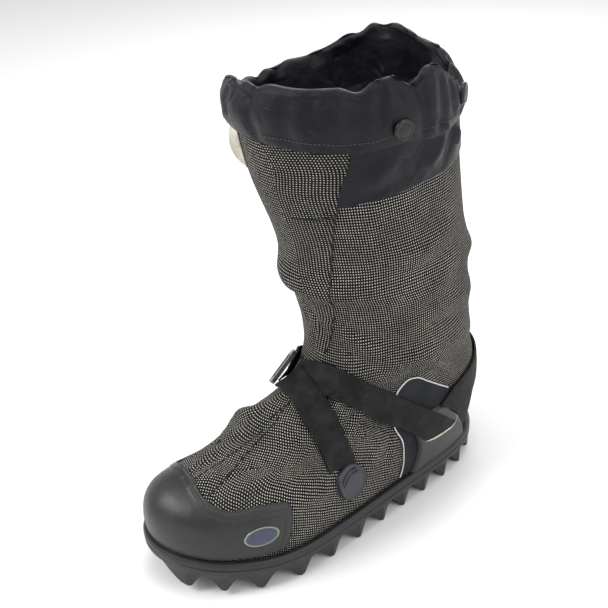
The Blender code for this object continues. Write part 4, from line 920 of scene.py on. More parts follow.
# The heel counter: a dark coated cloth wrapped round the heel, with a rounded lobe over each ankle and
# a thin white reflective piping sewn round its front edge and over the lobe.
COUNTER_OUTER = [(57, 49, 30), (58, 53, 42), (58, 53.5, 54), (58, 52, 70), (56, 46, 84), (54, 45, 98),
    (53, 50, 113)]
COUNTER_INNER = [(-39, 49, 30), (-41, 53, 42), (-43, 53.5, 54), (-45, 52, 70), (-47, 46, 84),
    (-49, 45, 98), (-50, 50, 113)]
LOBE_OUTER = [(53, 50, 113), (53, 57, 121), (55, 64, 125.5), (56, 72, 124.5), (55, 84, 116), (53, 98, 105),
    (50, 112, 94)]
LOBE_INNER = [(-50, 50, 113), (-50, 57, 121), (-51, 64, 125.5), (-52, 72, 124.5), (-51, 84, 116),
    (-49, 98, 105), (-45, 112, 94)]
COUNTER_TOP = LOBE_OUTER + [(42, 142, 88), (24, 163, 88), (0, 171, 88), (-24, 162, 88),
    (-39, 140, 88)] + LOBE_INNER[::-1]

counter_cloth, tree, shader = new_finish("counter_cloth", (0.007, 0.008, 0.011), 0.85)
place = node(tree, "ShaderNodeTexCoord").outputs["Object"]
fuzz = noise(tree, place, 420.0, 4.0, 0.7)
patchy = noise(tree, place, 40.0, 3.0)
tree.links.new(ramp(tree, sums(tree, "MULTIPLY_ADD", fuzz, 0.5, patchy), [
    (0.45, (0.004, 0.0045, 0.006)), (0.95, (0.017, 0.019, 0.024)),
]), shader.inputs["Base Color"])
bump(tree, shader, fuzz, 0.35 * MM, 0.8)
shader.inputs["Sheen Weight"].default_value = 0.03
shader.inputs["Specular IOR Level"].default_value = 0.2
counter = overlay(
    "heel_counter_cloth", None, COUNTER_TOP, COUNTER_OUTER, COUNTER_INNER, (90, 360),
        ["left", "high", "right"],
    rounded_lift(1.7 * MM, 1.0 * MM),
)
counter.data.materials.append(counter_cloth)
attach(counter, "root")
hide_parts("heel_counter")

reflective, tree, shader = new_finish("reflective_piping", (0.62, 0.62, 0.60), 0.4)
beads = noise(tree, node(tree, "ShaderNodeTexCoord").outputs["Object"], 1200.0, 2.0)
tree.links.new(ramp(tree, beads, [(0.3, 0.42), (0.7, 0.78)]), shader.inputs["Base Color"])
bump(tree, shader, beads, 0.06 * MM)
turns = np.arange(10) * 2 * np.pi / 10
BEAD = [(0.62 * math.cos(t), 1.35 + 0.62 * math.sin(t)) for t in turns]
strip("piping_outer", COUNTER_OUTER[:6] + LOBE_OUTER, BEAD, reflective)
strip("piping_inner", (COUNTER_INNER[:6] + LOBE_INNER)[::-1], BEAD, reflective)

# The wings: moulded rubber ears that rise from the sole on both sides of the heel, each with a slot for
# the webbing and a pale, worn lip along the slot's lower edge.
WING_OUTER = {
    "left": [(55, 61, 27), (55, 69, 42), (56, 71, 54), (56, 68, 66)],
    "high": [(56, 68, 66), (55, 73, 76), (54, 84, 82), (53, 93, 84), (52, 103, 82), (50, 114, 71),
        (47, 127, 54), (43, 137, 36)],
    "right": [(41, 141, 28), (42, 139, 31), (43, 137, 36)],
    "slot": [(56.5, 75, 58), (54, 85, 55.5), (53, 96, 54.5), (51, 107, 54), (50, 115, 54),
        (49, 119.5, 57.5), (49, 121, 61)],
}


def inner_side(points):
    """The same places in side view, found on the inner side of the upper."""
    spots = np.array(points, float) * MM
    spots[:, 0] = -0.04
    for _ in range(6):
        row, u = find(spots)
        spots[:, 0] = skin(row, u)[:, 0]
    return (spots / MM).tolist()


def wing_lift(gap):
    """A thick plate with a soft shoulder: it rises over 4 mm to its full 4.4 mm."""
    return 4.6 * MM * np.sqrt(np.clip(1 - (1 - np.clip(gap / (3.2 * MM), 0, 1)) ** 2, 0, 1)) + 0.3 * MM


wing_rubber = moulded_rubber("wing_rubber", (0.017, 0.018, 0.020), 0.42, 1500.0, 0.05 * MM)
lip_finish, tree, shader = new_finish("pale_lip", (0.62, 0.60, 0.46), 0.5)
worn = noise(tree, node(tree, "ShaderNodeTexCoord").outputs["Object"], 300.0, 4.0)
tree.links.new(ramp(tree, worn, [(0.35, (0.46, 0.44, 0.33)), (0.6, (0.70, 0.68, 0.54))]),
    shader.inputs["Base Color"])
bump(tree, shader, worn, 0.1 * MM)
slot_shade, tree, shader = new_finish("slot_shadow", (0.006, 0.006, 0.007), 0.9)
bump(tree, shader, noise(tree, node(tree, "ShaderNodeTexCoord").outputs["Object"], 500.0), 0.05 * MM)
for side, shape in (("lateral", WING_OUTER),
    ("medial", {key: inner_side(points) for key, points in WING_OUTER.items()})):
    wing = overlay(
        "heel_wing_" + side + "_moulding", None, shape["high"], shape["left"], shape["right"], (70, 120),
        ["left", "high", "right"], wing_lift,
    )
    if side == "medial":
        wing.data.flip_normals()
    wing.data.materials.append(wing_rubber)
    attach(wing, "root")
    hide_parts("heel_wing_" + side)
    row, u = find(along(np.array(shape["slot"]) * MM, 0.6 * MM))
    middle = skin(row, u)
    up = skin(row, u, 1.0) - middle
    aside = np.cross(np.gradient(middle, axis=0), up)
    aside /= np.linalg.norm(aside, axis=1)[:, None] * np.where(aside[:, 2:] < 0, 1, -1)
    way = np.linspace(0, 1, len(row))[:, None, None]
    for name, finish, profile, node_name in (
        ("slot_lip_", lip_finish, [(0.0, 4.6), (0.3, 5.5), (0.9, 5.8), (1.5, 5.5), (1.9, 4.6)],
        "slot_liner_"),
        # A near-black strip over the slot: painted shade inside the slot's opening.
        ("slot_shade_strip_", slot_shade, [(-2.2, 4.9), (-1.2, 5.12), (-0.4, 5.12), (0.2, 4.9)], None),
    ):
        ring = np.array(profile) * MM
        swell = np.sin(np.pi * np.clip(way, 0.02, 0.98)) ** 0.45
        points = middle[:, None] + aside[:, None] * ring[:, :1] * swell
        points = points + up[:, None] * (ring[:, 1:] * (0.25 * swell + 0.75))
        piece = make_mesh(name + side, points, grid_faces(len(row), len(profile)))
        if side == "medial":
            piece.data.flip_normals()
        piece.data.materials.append(finish)
        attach(piece, "root")
        if node_name:
            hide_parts(node_name + side)

# The webbing: flat black woven straps with fine ribs across them. One crosses the instep from each wing's
# slot to the buckle, its free end comes back down the outer side, and one wraps round the heel.


def ribbed_webbing(name):
    """Black webbing: ribs across it from the piece's own lengths and slanted threads, with a painted highlight on
    their crests.
    """
    made, tree, shader = new_finish(name, (0.012, 0.012, 0.014), 0.62)
    cloth = node(tree, "ShaderNodeSeparateXYZ", {0: node(tree, "ShaderNodeUVMap", uv_map="cloth").outputs[0]})
    place = node(tree, "ShaderNodeTexCoord").outputs["Object"]
    rib = sums(tree, "SINE", sums(tree, "MULTIPLY", cloth.outputs[1], 2 * math.pi / (1.5 * MM)))
    slant = sums(tree, "MULTIPLY_ADD", cloth.outputs[0], 1 / (1.9 * MM),
        sums(tree, "MULTIPLY", cloth.outputs[1], 1 / (1.5 * MM)))
    thread = sums(tree, "SINE", sums(tree, "MULTIPLY", slant, 2 * math.pi))
    height = sums(tree, "MULTIPLY_ADD", thread, 0.6, rib)
    worn = noise(tree, place, 90.0, 4.0)
    # The ribs' and threads' heights lighten the colour on their crests: painted highlight, over random wear from the
    # noise.
    tone = sums(tree, "MULTIPLY_ADD", height, 0.12, worn)
    mixed = ramp(tree, tone, [(0.35, (0.003, 0.003, 0.0035)), (0.80, (0.020, 0.020, 0.022))])
    tree.links.new(mixed, shader.inputs["Base Color"])
    bump(tree, shader, height, 0.16 * MM, 0.8)
    shader.inputs["Specular IOR Level"].default_value = 0.2
    return made


def webbing(name, left, right, lifts, thick, finish, node_name, spacing=1.3):
    """A strap between two edge lines, held off the skin by lifts read along it, with turned-down edges."""
    count = int(np.linalg.norm(np.diff(np.array(left, float), axis=0), axis=1).sum() / spacing)
    edges = []
    for line in (left, right):
        run = along(np.array(line) * MM, MM)
        at = np.linspace(0, len(run) - 1, count)
        edges.append(np.stack([np.interp(at, np.arange(len(run)), run[:, k]) for k in range(3)], 1))
    share = np.linspace(0, 1, 13)
    row, u = find(edges[0][:, None] * (1 - share)[None, :, None] + edges[1][:, None] * share[None, :, None])
    under = skin(row, u)
    up = skin(row, u, 1.0) - under
    kernel = np.hanning(27)[:, None, None] / np.hanning(27).sum()
    padded = np.concatenate([under[:1] + (under[:1] - under[k : k + 1]) for k in range(13, 0, -1)] + [under]
                            + [under[-1:] * 2 - under[-1 - k : under.shape[0] - k] for k in range(1, 14)])
    base = np.stack([(padded[k : k + 27] * kernel).sum(0) for k in range(count)])
    proud = np.clip(((under - base) * up).sum(2).max(1), 0, None)
    lift = proud / MM + np.interp(np.linspace(0, 1, count), np.linspace(0, 1, len(lifts)), lifts)
    lift = lift * MM
    kernel = np.hanning(15) / np.hanning(15).sum()
    lift = np.convolve(np.pad(lift, 7, mode="edge"), kernel, mode="valid")
    top = base + up * (lift[:, None] + thick * MM - 0.25 * thick * MM * np.abs(2 * share - 1) ** 8)[..., None]
    sides = [base[:, [0]] + up[:, [0]] * (lift - 0.3 * MM)[:, None, None],
        base[:, [-1]] + up[:, [-1]] * (lift - 0.3 * MM)[:, None, None]]
    points = np.concatenate([sides[0], top, sides[1]], 1)
    end = points[-1] * 1.0
    end[1:-1] -= up[-1] * thick * MM
    start = points[0] * 1.0
    start[1:-1] -= up[0] * thick * MM
    points = np.concatenate([start[None], points, end[None]])
    piece = make_mesh(name, points, grid_faces(*points.shape[:2]))
    away = np.cross(points[5, 7] - points[4, 7], points[4, 8] - points[4, 7])
    if np.dot(away, up[4, 6]) > 0:
        piece.data.flip_normals()
    across = np.concatenate([np.zeros((len(points), 1)),
        np.cumsum(np.linalg.norm(np.diff(points, axis=1), axis=2), axis=1)], 1)
    upward = np.concatenate([[0], np.cumsum(np.linalg.norm(np.diff(points[:, 7], axis=0), axis=1))])
    lay_cloth(piece, across, np.repeat(upward[:, None], points.shape[1], 1))
    piece.data.materials.append(finish)
    piece.data.set_sharp_from_angle(angle=math.radians(50))
    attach(piece, "root")
    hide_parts(node_name)
    return piece


# Thickness in mm, as the clearances of each strap
WEB_THICKNESS = 1.7
black_webbing = ribbed_webbing("black_webbing")
webbing(
    "strap_instep_outer_web",
    [(55.5, 77, 58), (55, 62, 73), (54, 46, 87), (54, 29, 100), (46, 7, 120), (21, -3, 121), (5, -12, 123),
        (-8, -19, 122)],
    [(49.5, 118, 57), (54, 89, 83), (53, 62, 106), (48, 38, 126), (38, 23, 138), (23, 13, 148),
        (7, 7, 146), (-8, 3, 141)],
    [4.6, 5.2, 4.4, 3.0, 2.2, 2.6, 2.8, 2.8], WEB_THICKNESS, black_webbing, "strap_instep_lateral",
)
webbing(
    "strap_instep_inner_web",
    inner_side([(0, 77, 61), (0, 62, 73), (0, 46, 85), (0, 26, 100), (0, 2, 112), (0, -14, 116)]),
    inner_side([(0, 115, 57), (0, 89, 84), (0, 62, 106), (0, 38, 124), (0, 20, 134), (0, 10, 139)]),
    [4.6, 5.2, 3.6, 2.4, 3.2, 3.6], WEB_THICKNESS, black_webbing, "strap_instep_medial",
)
webbing(
    "strap_free_end_web",
    [(-8, -25, 119), (6, -26, 122), (27, -31, 116), (40, -31, 109), (53, -31, 98), (58, -31, 91),
        (64.5, -30, 81)],
    [(-9, 1, 136), (3, 0, 131), (24, -2, 120), (40, -4, 109), (54, -4, 95), (59, -3, 87), (63.5, -2, 78)],
    [5.0, 5.0, 4.6, 2.6, 1.4, 1.2, 1.0], WEB_THICKNESS, black_webbing, "strap_free_end",
)
HEEL_LOW = [(50, 124, 62), (44, 140, 65), (36, 153, 72), (21, 168, 78), (0, 174, 80)]
HEEL_HIGH = [(54, 99, 84), (51, 116, 93), (42, 143, 98), (22, 163, 104), (0, 170, 106)]
webbing(
    "strap_heel_web", HEEL_LOW + [(-x, y, z) for x, y, z in HEEL_LOW[-2::-1]],
    HEEL_HIGH + [(-x, y, z) for x, y, z in HEEL_HIGH[-2::-1]], [3.2, 2.2, 2.2, 2.2, 2.2, 2.2, 3.2],
        WEB_THICKNESS,
    black_webbing, "strap_heel",
)

# The pull tab: a moulded rubber tongue on the strap's free end, with a raised rim, two curved finger
# grooves near its top and ribs round its lower edge.
TAB_HALVES = (17.5 * MM, 14.5 * MM)


def tab_lift(r, x, y, a):
    """A plate with a raised rim, two curved grooves towards its top, and ribs at its lower edge."""
    rim = 1.1 * np.exp(-(((r - 0.90) / 0.07) ** 2))
    upper_part = x / TAB_HALVES[0]
    bow = upper_part + 0.9 * (y / TAB_HALVES[1]) ** 2 * 0.45
    grooves = np.exp(-(((bow - 0.66) / 0.045) ** 2)) + np.exp(-(((bow - 0.44) / 0.045) ** 2))
    grooves *= np.clip((0.72 - np.abs(y) / TAB_HALVES[1]) / 0.1, 0, 1)
    ribs = 0.45 * np.cos(a * 44) * np.clip((r - 0.80) / 0.1, 0, 1) * np.clip(-upper_part * 4, 0, 1)
    return (3.6 + 0.3 * (1 - r**2) + rim - 1.7 * grooves + ribs - 3.6 * np.clip((r - 0.95) / 0.05, 0,
        1) ** 2) * MM


tab_rubber = moulded_rubber("tab_rubber", (0.026, 0.029, 0.036), 0.42, 1600.0, 0.05 * MM)
tab = local_piece("strap_tab_moulding", (65.5, -10, 63), (0, -0.42, 0.9), TAB_HALVES, 2.4, tab_lift, 60, 176)
tab.data.materials.append(tab_rubber)
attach(tab, "root")
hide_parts("strap_tab")

# The buckle: a plain black moulded frame on the inner side of the instep, with a plain metal bar.
buckle_black = moulded_rubber("buckle_black", (0.014, 0.014, 0.016), 0.34, 1800.0, 0.03 * MM)
bar_metal, tree, shader = new_finish("bar_metal", (0.30, 0.29, 0.26), 0.35)
shader.inputs["Metallic"].default_value = 0.8
bump(tree, shader, noise(tree, node(tree, "ShaderNodeTexCoord").outputs["Object"], 800.0), 0.05 * MM)
for name, finish in (("buckle_frame", buckle_black), ("buckle_bar", bar_metal)):
    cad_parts[name].material_slots[0].material = finish

# The outsole: one deep rubber moulding. A rim lip holds the upper's foot, a thin line runs under it, and
# a row of big lugs, each with a V-shaped face, stands all round. Bars cross the tread.
SOLE_LUGS = np.array([0.030, 0.090, 0.171, 0.277, 0.378, 0.476, 0.567, 0.650, 0.735, 0.820, 0.895, 0.960])
LUG_DEPTH = 11.5 * MM
STATIONS_PER_LUG = 22


def sole_stations():
    """Angles round the sole, and at each one how far it lies from its lug's tip: 0 there, 1 in the valley."""
    tips = np.arccos(1 - 2 * SOLE_LUGS)
    tips = np.concatenate([tips, [np.pi], 2 * np.pi - tips[::-1], [2 * np.pi + tips[0]]])
    way = np.arange(STATIONS_PER_LUG) / STATIONS_PER_LUG
    angles = (tips[:-1, None] * (1 - way) + tips[1:, None] * way).ravel()
    valley = np.tile(1 - np.abs(2 * way - 1), len(tips) - 1)
    order = np.argsort(np.mod(angles, 2 * np.pi))
    return np.mod(angles, 2 * np.pi)[order], valley[order]


def sole_edge(u):
    """The upper's foot and its face at the rim's height, with the outward directions in plan."""
    low = skin(0 * u, u)
    out = np.gradient(low, axis=0)
    out = np.stack([out[:, 1], -out[:, 0], 0 * u], 1)
    out /= np.linalg.norm(out, axis=1)[:, None]
    rows = np.linspace(0, 3, 34)
    face = skin(rows[None] + 0 * u[:, None], u[:, None] + 0 * rows[None])
    over = (face[..., 2] < rim_height(low[:, 1])[:, None] - 0.5 * MM).sum(1).clip(1, 33)
    return low, face[np.arange(len(u)), over], out


angles, valley = sole_stations()
foot, at_rim, out = sole_edge(angles)
for _ in range(3):
    out = out + np.roll(out, 1, 0) + np.roll(out, -1, 0)
    out /= np.linalg.norm(out, axis=1)[:, None]
y = foot[:, 1]
flare = ((at_rim - foot) * out).sum(1)
for _ in range(6):
    flare = (flare + np.roll(flare, 1) + np.roll(flare, -1)) / 3
rim, tip = rim_height(y), TOE_SPRING * toe_lift(y)
rise = np.clip((valley - 0.16) / 0.72, 0, 1)
rise = 0.35 * rise + 0.65 * np.sin(rise * np.pi / 2) ** 1.1
prow = 3.4 * MM * np.clip(valley * 1.15, 0, 1) ** 0.8
wide = flare + 6.6 * MM
tread = tip + LUG_DEPTH * rise
LEVELS = [
    # offset from the foot, height
    (flare - 0.5 * MM, rim - 9 * MM), (flare + 0.6 * MM, rim - 0.4 * MM), (flare + 2.6 * MM, rim + 1.3 * MM),
    (wide - 1.4 * MM, rim + 1.1 * MM), (wide - 0.3 * MM, rim - 0.2 * MM), (wide, rim - 2.0 * MM),
    (wide, rim - 4.6 * MM), (wide - 0.9 * MM, rim - 5.1 * MM), (wide - 0.9 * MM, rim - 5.8 * MM),
    (wide - 0.1 * MM, rim - 6.4 * MM), (wide - 0.3 * MM, rim - 10.2 * MM),
    (wide - 0.8 * MM - 0.4 * prow, rim - 11.4 * MM),
    (wide - 1.2 * MM - prow, np.maximum(tread + 1.2 * MM, rim - 15.5 * MM)),
    (wide - 1.8 * MM - prow, tread + 0.4 * MM),
    (wide - 2.6 * MM - prow, tread), (wide - 14 * MM - prow * 0.5, tread),
    (wide - 16 * MM, tip + LUG_DEPTH * 0.5 * (1 + rise)),
    (wide - 18 * MM, tip + LUG_DEPTH), (wide - 24 * MM, tip + LUG_DEPTH),
    (wide - 27 * MM, tip + LUG_DEPTH * rise),
]
rings = np.stack([
    np.concatenate([(foot + out * np.reshape(offset, (-1, 1)))[:, :2], (height_ + 0 * y)[:, None]], 1)
    for offset, height_ in LEVELS
])
# The tread closes on the sole's middle line, where each station meets the one across from it
middle = (rings[-1] + rings[-1][-np.arange(len(angles)) % len(angles)]) / 2
rings = np.concatenate([rings, [0.5 * (rings[-1] + middle)], middle[None]])
sole = make_mesh("outsole_moulding", rings, grid_faces(len(rings), len(angles), True)[:, ::-1])
sole_rubber = moulded_rubber("sole_rubber", (0.013, 0.0135, 0.0155), 0.46, 1200.0, 0.07 * MM)
sole.data.materials.append(sole_rubber)
sole.data.set_sharp_from_angle(angle=math.radians(38))
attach(sole, "root")
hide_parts("outsole")

# The insole: a flat felt footbed on the sole's floor.
felt, tree, shader = new_finish("felt", (0.045, 0.045, 0.048), 0.95)
fibres = noise(tree, node(tree, "ShaderNodeTexCoord").outputs["Object"], 700.0, 5.0, 0.7)
tree.links.new(ramp(tree, fibres, [(0.3, 0.025), (0.75, 0.07)]), shader.inputs["Base Color"])
bump(tree, shader, fibres, 0.4 * MM)
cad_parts["insole"].material_slots[0].material = felt

# The gaiter: a panel of thin black nylon let into the shaft under the cuff, on the outer side and round
# the back. It is gathered, so soft puffs and creases run across it.


def thin_nylon(name, colour, sheen):
    """Thin dark nylon: a fine plain weave, small cross creases and a soft sheen."""
    made, tree, shader = new_finish(name, colour, 0.42)
    place = node(tree, "ShaderNodeTexCoord").outputs["Object"]
    crinkle = noise(tree, place, 42.0, 4.0, 0.5)
    weave = noise(tree, place, 1500.0, 1.0)
    cloudy = noise(tree, place, 18.0, 3.0)
    mixed = ramp(tree, cloudy, [(0.3, tuple(0.7 * c for c in colour)), (0.8, tuple(1.5 * c for c in colour))])
    tree.links.new(mixed, shader.inputs["Base Color"])
    bump(tree, shader, sums(tree, "MULTIPLY_ADD", weave, 0.10, crinkle), 5.0 * MM, 0.7)
    shader.inputs["Sheen Weight"].default_value = sheen
    shader.inputs["Sheen Roughness"].default_value = 0.4
    shader.inputs["Specular IOR Level"].default_value = 0.22
    return made


black_nylon = thin_nylon("black_nylon", (0.004, 0.0045, 0.0075), 0.03)
gaiter = overlay(
    "gaiter_panel",
    [(54, -3, 303), (62, 14, 306), (70, 36, 309), (75, 66, 312), (68, 96, 314), (56, 116, 316),
        (30, 136, 318), (0, 141, 318)],
    [(66, 4, 358), (72, 20, 358), (78, 42, 358), (78, 66, 358), (70, 95, 358), (56, 116, 358),
        (30, 133, 358), (0, 138, 358)],
    [(54, -3, 303), (58, -2, 318), (64, 2, 338), (66, 4, 358)], [(0, 141, 318), (0, 140, 338), (0, 138, 358)],
    (60, 200), ["low", "left"], rounded_lift(1.7 * MM, 1.2 * MM),
)
spots = np.empty(len(gaiter.data.vertices) * 3)
gaiter.data.vertices.foreach_get("co", spots)
spots = spots.reshape(-1, 3)
puff = np.zeros(len(spots))
for half, deep, path in (
    (8, -2.6, [(66, 14, 322), (70, 28, 332), (73, 40, 346)]),
    (5, 2.2, [(72, 34, 346), (75, 44, 330), (76, 56, 318)]),
    (5, 2.4, [(76, 60, 352), (75, 54, 336), (72, 42, 324)]),
    (7, -2.4, [(78, 62, 322), (77, 74, 334), (76, 84, 344)]),
    (5, 2.0, [(74, 84, 320), (73, 94, 336), (71, 100, 350)]), (7, -2.0, [(66, 102, 326), (62, 108, 342)]),
    (6, 2.0, [(40, 130, 330), (30, 134, 345)]), (4, 1.6, [(58, -1, 308), (66, 14, 312), (72, 34, 318)]),
):
    gap, way = distances(spots, along(np.array(path) * MM, 2 * MM))
    puff += deep * MM * np.exp(-((gap / (half * MM)) ** 2)) * np.sin(np.pi * np.clip(way, 0.1, 0.9))
out_here = np.stack([spots[:, 0], spots[:, 1] - 55 * MM, 0 * puff], 1)
out_here /= np.linalg.norm(out_here, axis=1)[:, None]
spots -= out_here * np.clip(1.7 * puff, -4 * MM, 1.2 * MM)[:, None]
gaiter.data.vertices.foreach_set("co", spots.ravel())
gaiter.data.materials.append(black_nylon)
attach(gaiter, "root")
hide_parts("gaiter")

# The cuff: a tall tube of the same nylon, folded over the collar and gathered, so it bunches. It goes up
# from its stitched hem, rolls over the rim and down inside the shaft.
CUFF_HEM = np.array([
    # turn, drop below the collar, as a share of the cuff's height
    (0.000, 0.72), (0.060, 0.78), (0.125, 0.86), (0.170, 0.89), (0.225, 0.84), (0.290, 0.93), (0.345, 0.86),
    (0.420, 0.78), (0.500, 0.84), (0.620, 0.90), (0.750, 0.84), (0.880, 0.88), (0.960, 0.72), (1.000, 0.72),
])
CUFF_AROUND, CUFF_UP = 480, 120
# Folds of the cuff: at which turn each starts below and ends above, its half width in turns, its height
# range along the cloth (0 hem, 0.5 rim, 1 inside), and its depth in mm: troughs above 0
CUFF_FOLDS = [
    # turn below, turn above, half width, from, to, depth
    (0.030, 0.012, 0.010, 0.00, 0.55, 2.2), (0.075, 0.095, 0.014, 0.02, 0.45, 1.8),
    (0.120, 0.108, 0.010, 0.20, 0.52, 1.6),
    (0.165, 0.172, 0.016, 0.00, 0.50, 1.6), (0.196, 0.205, 0.008, 0.15, 0.55, 2.2),
    (0.232, 0.226, 0.010, 0.30, 0.62, 2.6),
    (0.262, 0.255, 0.009, 0.00, 0.66, 3.0), (0.292, 0.300, 0.010, 0.00, 0.60, 2.4),
    (0.322, 0.315, 0.010, 0.10, 0.58, 2.6),
    (0.352, 0.362, 0.012, 0.00, 0.60, 2.6), (0.392, 0.384, 0.012, 0.00, 0.60, 2.4),
    (0.432, 0.440, 0.014, 0.00, 0.58, 2.4),
    (0.480, 0.470, 0.012, 0.00, 0.60, 2.2), (0.530, 0.540, 0.014, 0.00, 0.60, 2.4),
    (0.585, 0.576, 0.013, 0.00, 0.62, 2.4),
    (0.640, 0.650, 0.014, 0.00, 0.60, 2.2), (0.700, 0.690, 0.014, 0.00, 0.62, 2.4),
    (0.760, 0.772, 0.013, 0.00, 0.60, 2.4),
    (0.815, 0.806, 0.014, 0.00, 0.58, 2.4), (0.870, 0.880, 0.012, 0.00, 0.60, 2.0),
    (0.930, 0.922, 0.012, 0.00, 0.60, 2.4),
    (0.965, 0.975, 0.009, 0.10, 0.60, 2.0), (0.340, 0.365, 0.012, 0.52, 1.00, 6.5),
    (0.375, 0.400, 0.012, 0.52, 1.00, -4.5),
    (0.415, 0.425, 0.012, 0.50, 1.00, 6.0), (0.455, 0.460, 0.014, 0.55, 1.00, -3.5),
    (0.300, 0.325, 0.014, 0.52, 1.00, -4.0),
    (0.520, 0.530, 0.020, 0.52, 1.00, 3.5), (0.640, 0.650, 0.024, 0.55, 1.00, 3.0),
    (0.800, 0.790, 0.024, 0.55, 1.00, 3.0),
]
# Small creases all over the cloth, where it is gathered: middle turn, middle t, slant, half width in
# turns, half length in t, and depth in mm
crease_seed = np.random.default_rng(7)
CREASES = np.stack([
    crease_seed.uniform(0, 1, 110), crease_seed.uniform(0.06, 0.96, 110), crease_seed.normal(0, 0.10, 110),
    crease_seed.uniform(0.0035, 0.0075, 110), crease_seed.uniform(0.04, 0.13, 110),
        crease_seed.uniform(-1.3, 1.5, 110),
], 1)


def cuff_surface(t, turn):
    """The cuff's cloth: t runs from the hem (0) over the rim (0.5) to its lower edge inside (1).

    The outer leg stands off the shaft in a puff, the roll is a half circle, and the inner leg hangs.
    Folds are bell-shaped across the turn, and slant from their turn below to their turn above.
    """
    u = turn * 2 * np.pi
    rim = cuff_rim(u) - 1.2 * MM + 1.4 * MM * np.sin(u * 17 + 2 * np.sin(u * 5)) * np.exp(-(((t - 0.5) / 0.12) ** 2))
    hem = COLLAR_HEIGHT - CUFF_HEIGHT * curve(CUFF_HEM[:, 0], CUFF_HEM[:, 1], turn)
    outer = np.clip(t / 0.46, 0, 1)
    inner = np.clip((t - 0.54) / 0.46, 0, 1)
    roll = np.clip((t - 0.46) / 0.08, 0, 1) * np.pi
    z = np.where(t < 0.5, hem + (rim - 3 * MM - hem) * outer,
        rim - 3 * MM - 46 * MM * inner) + 3 * MM * np.sin(roll)
    puff = 3.4 * MM * np.sin(np.pi * np.clip(outer * 0.92 + 0.04, 0, 1)) ** 0.7
    lift_out = 4.2 * MM + puff - 3.2 * MM * outer**3
    lift = np.where(t < 0.46, lift_out, np.where(t > 0.54, -7.5 * MM - 1.0 * MM * inner, 0))
    lift = np.where((t >= 0.46) & (t <= 0.54), (1.0 - 7.5) / 2 * MM + (1.0 + 7.5) / 2 * MM * np.cos(roll),
        lift)
    for low, high, half, start, end, deep in CUFF_FOLDS:
        centre = low + (high - low) * t
        off = np.abs(np.mod(turn - centre + 0.5, 1) - 0.5)
        reach = np.clip((t - start) / 0.08, 0, 1) * np.clip((end - t) / 0.08, 0, 1)
        side = np.where(t < 0.5, 1, -1) if start < 0.5 else -1
        lift = lift - side * deep * MM * np.exp(-((off / half) ** 2)) * reach * (1.15 if start < 0.5 else 1.2)
    for middle_turn, middle_t, slant, half, length, deep in CREASES:
        off = np.mod(turn - middle_turn - slant * (t - middle_t) + 0.5, 1) - 0.5
        lift = lift - deep * MM * np.exp(-((off / half) ** 2) - ((t - middle_t) / length) ** 2)
    lift = np.where(t < 0.46, np.maximum(lift, 1.2 * MM),
        np.where(t > 0.54, np.minimum(lift, -4.4 * MM), lift))
    row, span = 0 * z + (15 + LAST_ROW) / 2, (LAST_ROW - 15) / 4
    for _ in range(16):
        row = row + np.where(skin(row, u)[..., 2] < z, span, -span)
        span /= 2
    place = skin(row, u, lift)
    over = np.clip(z - skin(LAST_ROW + 0 * row, u)[..., 2], 0, None)
    slope = skin(LAST_ROW + 0 * row, u) - skin(LAST_ROW - 2 + 0 * row, u)
    place = place + slope * (over / slope[..., 2])[..., None]
    place[..., 2] = z
    return place


t, turn = np.meshgrid(np.linspace(0, 1, CUFF_UP), np.arange(CUFF_AROUND) / CUFF_AROUND, indexing="ij")
points = cuff_surface(t, turn)
hem_in = points[:1] - (points[:1] - (0, 0.055, 0)) * (1, 1, 0) * 0.035
cuff = make_mesh("cuff_cloth", np.concatenate([hem_in, points]), grid_faces(CUFF_UP + 1, CUFF_AROUND, True))
lay_cloth(cuff, np.concatenate([turn[:1], turn]) * 0.5, np.concatenate([0 * t[:1], t]) * 0.1)
cuff_nylon = thin_nylon("cuff_nylon", (0.004, 0.0045, 0.0075), 0.04)
cuff.data.materials.append(cuff_nylon)
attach(cuff, "root")
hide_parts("cuff")

hem_thread, tree, shader = new_finish("hem_thread", (0.07, 0.072, 0.08), 0.7)
bump(tree, shader, noise(tree, node(tree, "ShaderNodeTexCoord").outputs["Object"], 1500.0), 0.05 * MM)


def stitch_row(name, middle, out, length, gap, radius):
    """A row of small round stitches along a line: a squashed six-sided bead for each, in one mesh."""
    reach = np.concatenate([[0], np.cumsum(np.linalg.norm(np.diff(middle, axis=0), axis=1))])
    starts = np.arange(0, reach[-1] - length, length + gap)
    way = np.array([0, 0.15, 0.5, 0.85, 1.0])
    at = starts[:, None] + way[None] * length
    centre = np.stack([np.interp(at, reach, middle[:, k]) for k in range(3)], -1)
    away = np.stack([np.interp(at, reach, out[:, k]) for k in range(3)], -1)
    forward = centre[:, -1:] - centre[:, :1]
    forward = forward / np.linalg.norm(forward, axis=2)[..., None]
    aside = np.cross(forward, away)
    size = radius * np.array([0.25, 0.85, 1.0, 0.85, 0.25])[None, :, None]
    turns = np.arange(6) * np.pi / 3
    rings = centre[:, :, None] + (aside * size)[:, :, None] * np.cos(turns)[:, None]
    rings = rings + (away * size)[:, :, None] * np.sin(turns)[:, None]
    faces = np.concatenate([grid_faces(5, 6, True, i * 30)[:, ::-1] for i in range(len(starts))])
    piece = make_mesh(name, rings, faces)
    piece.data.materials.append(hem_thread)
    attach(piece, "root")


hem_t = np.full((1, 900), 0.085)
hem_turn = np.linspace(0.02, 0.98, 900)[None]
hem_line = cuff_surface(hem_t, hem_turn)[0]
hem_out = np.stack([hem_line[:, 0], hem_line[:, 1] - 0.055, 0 * hem_line[:, 0]], 1)
hem_out /= np.linalg.norm(hem_out, axis=1)[:, None]
stitch_row("hem_stitches", hem_line + hem_out * 0.25 * MM, hem_out, 2.0 * MM, 1.1 * MM, 0.28 * MM)

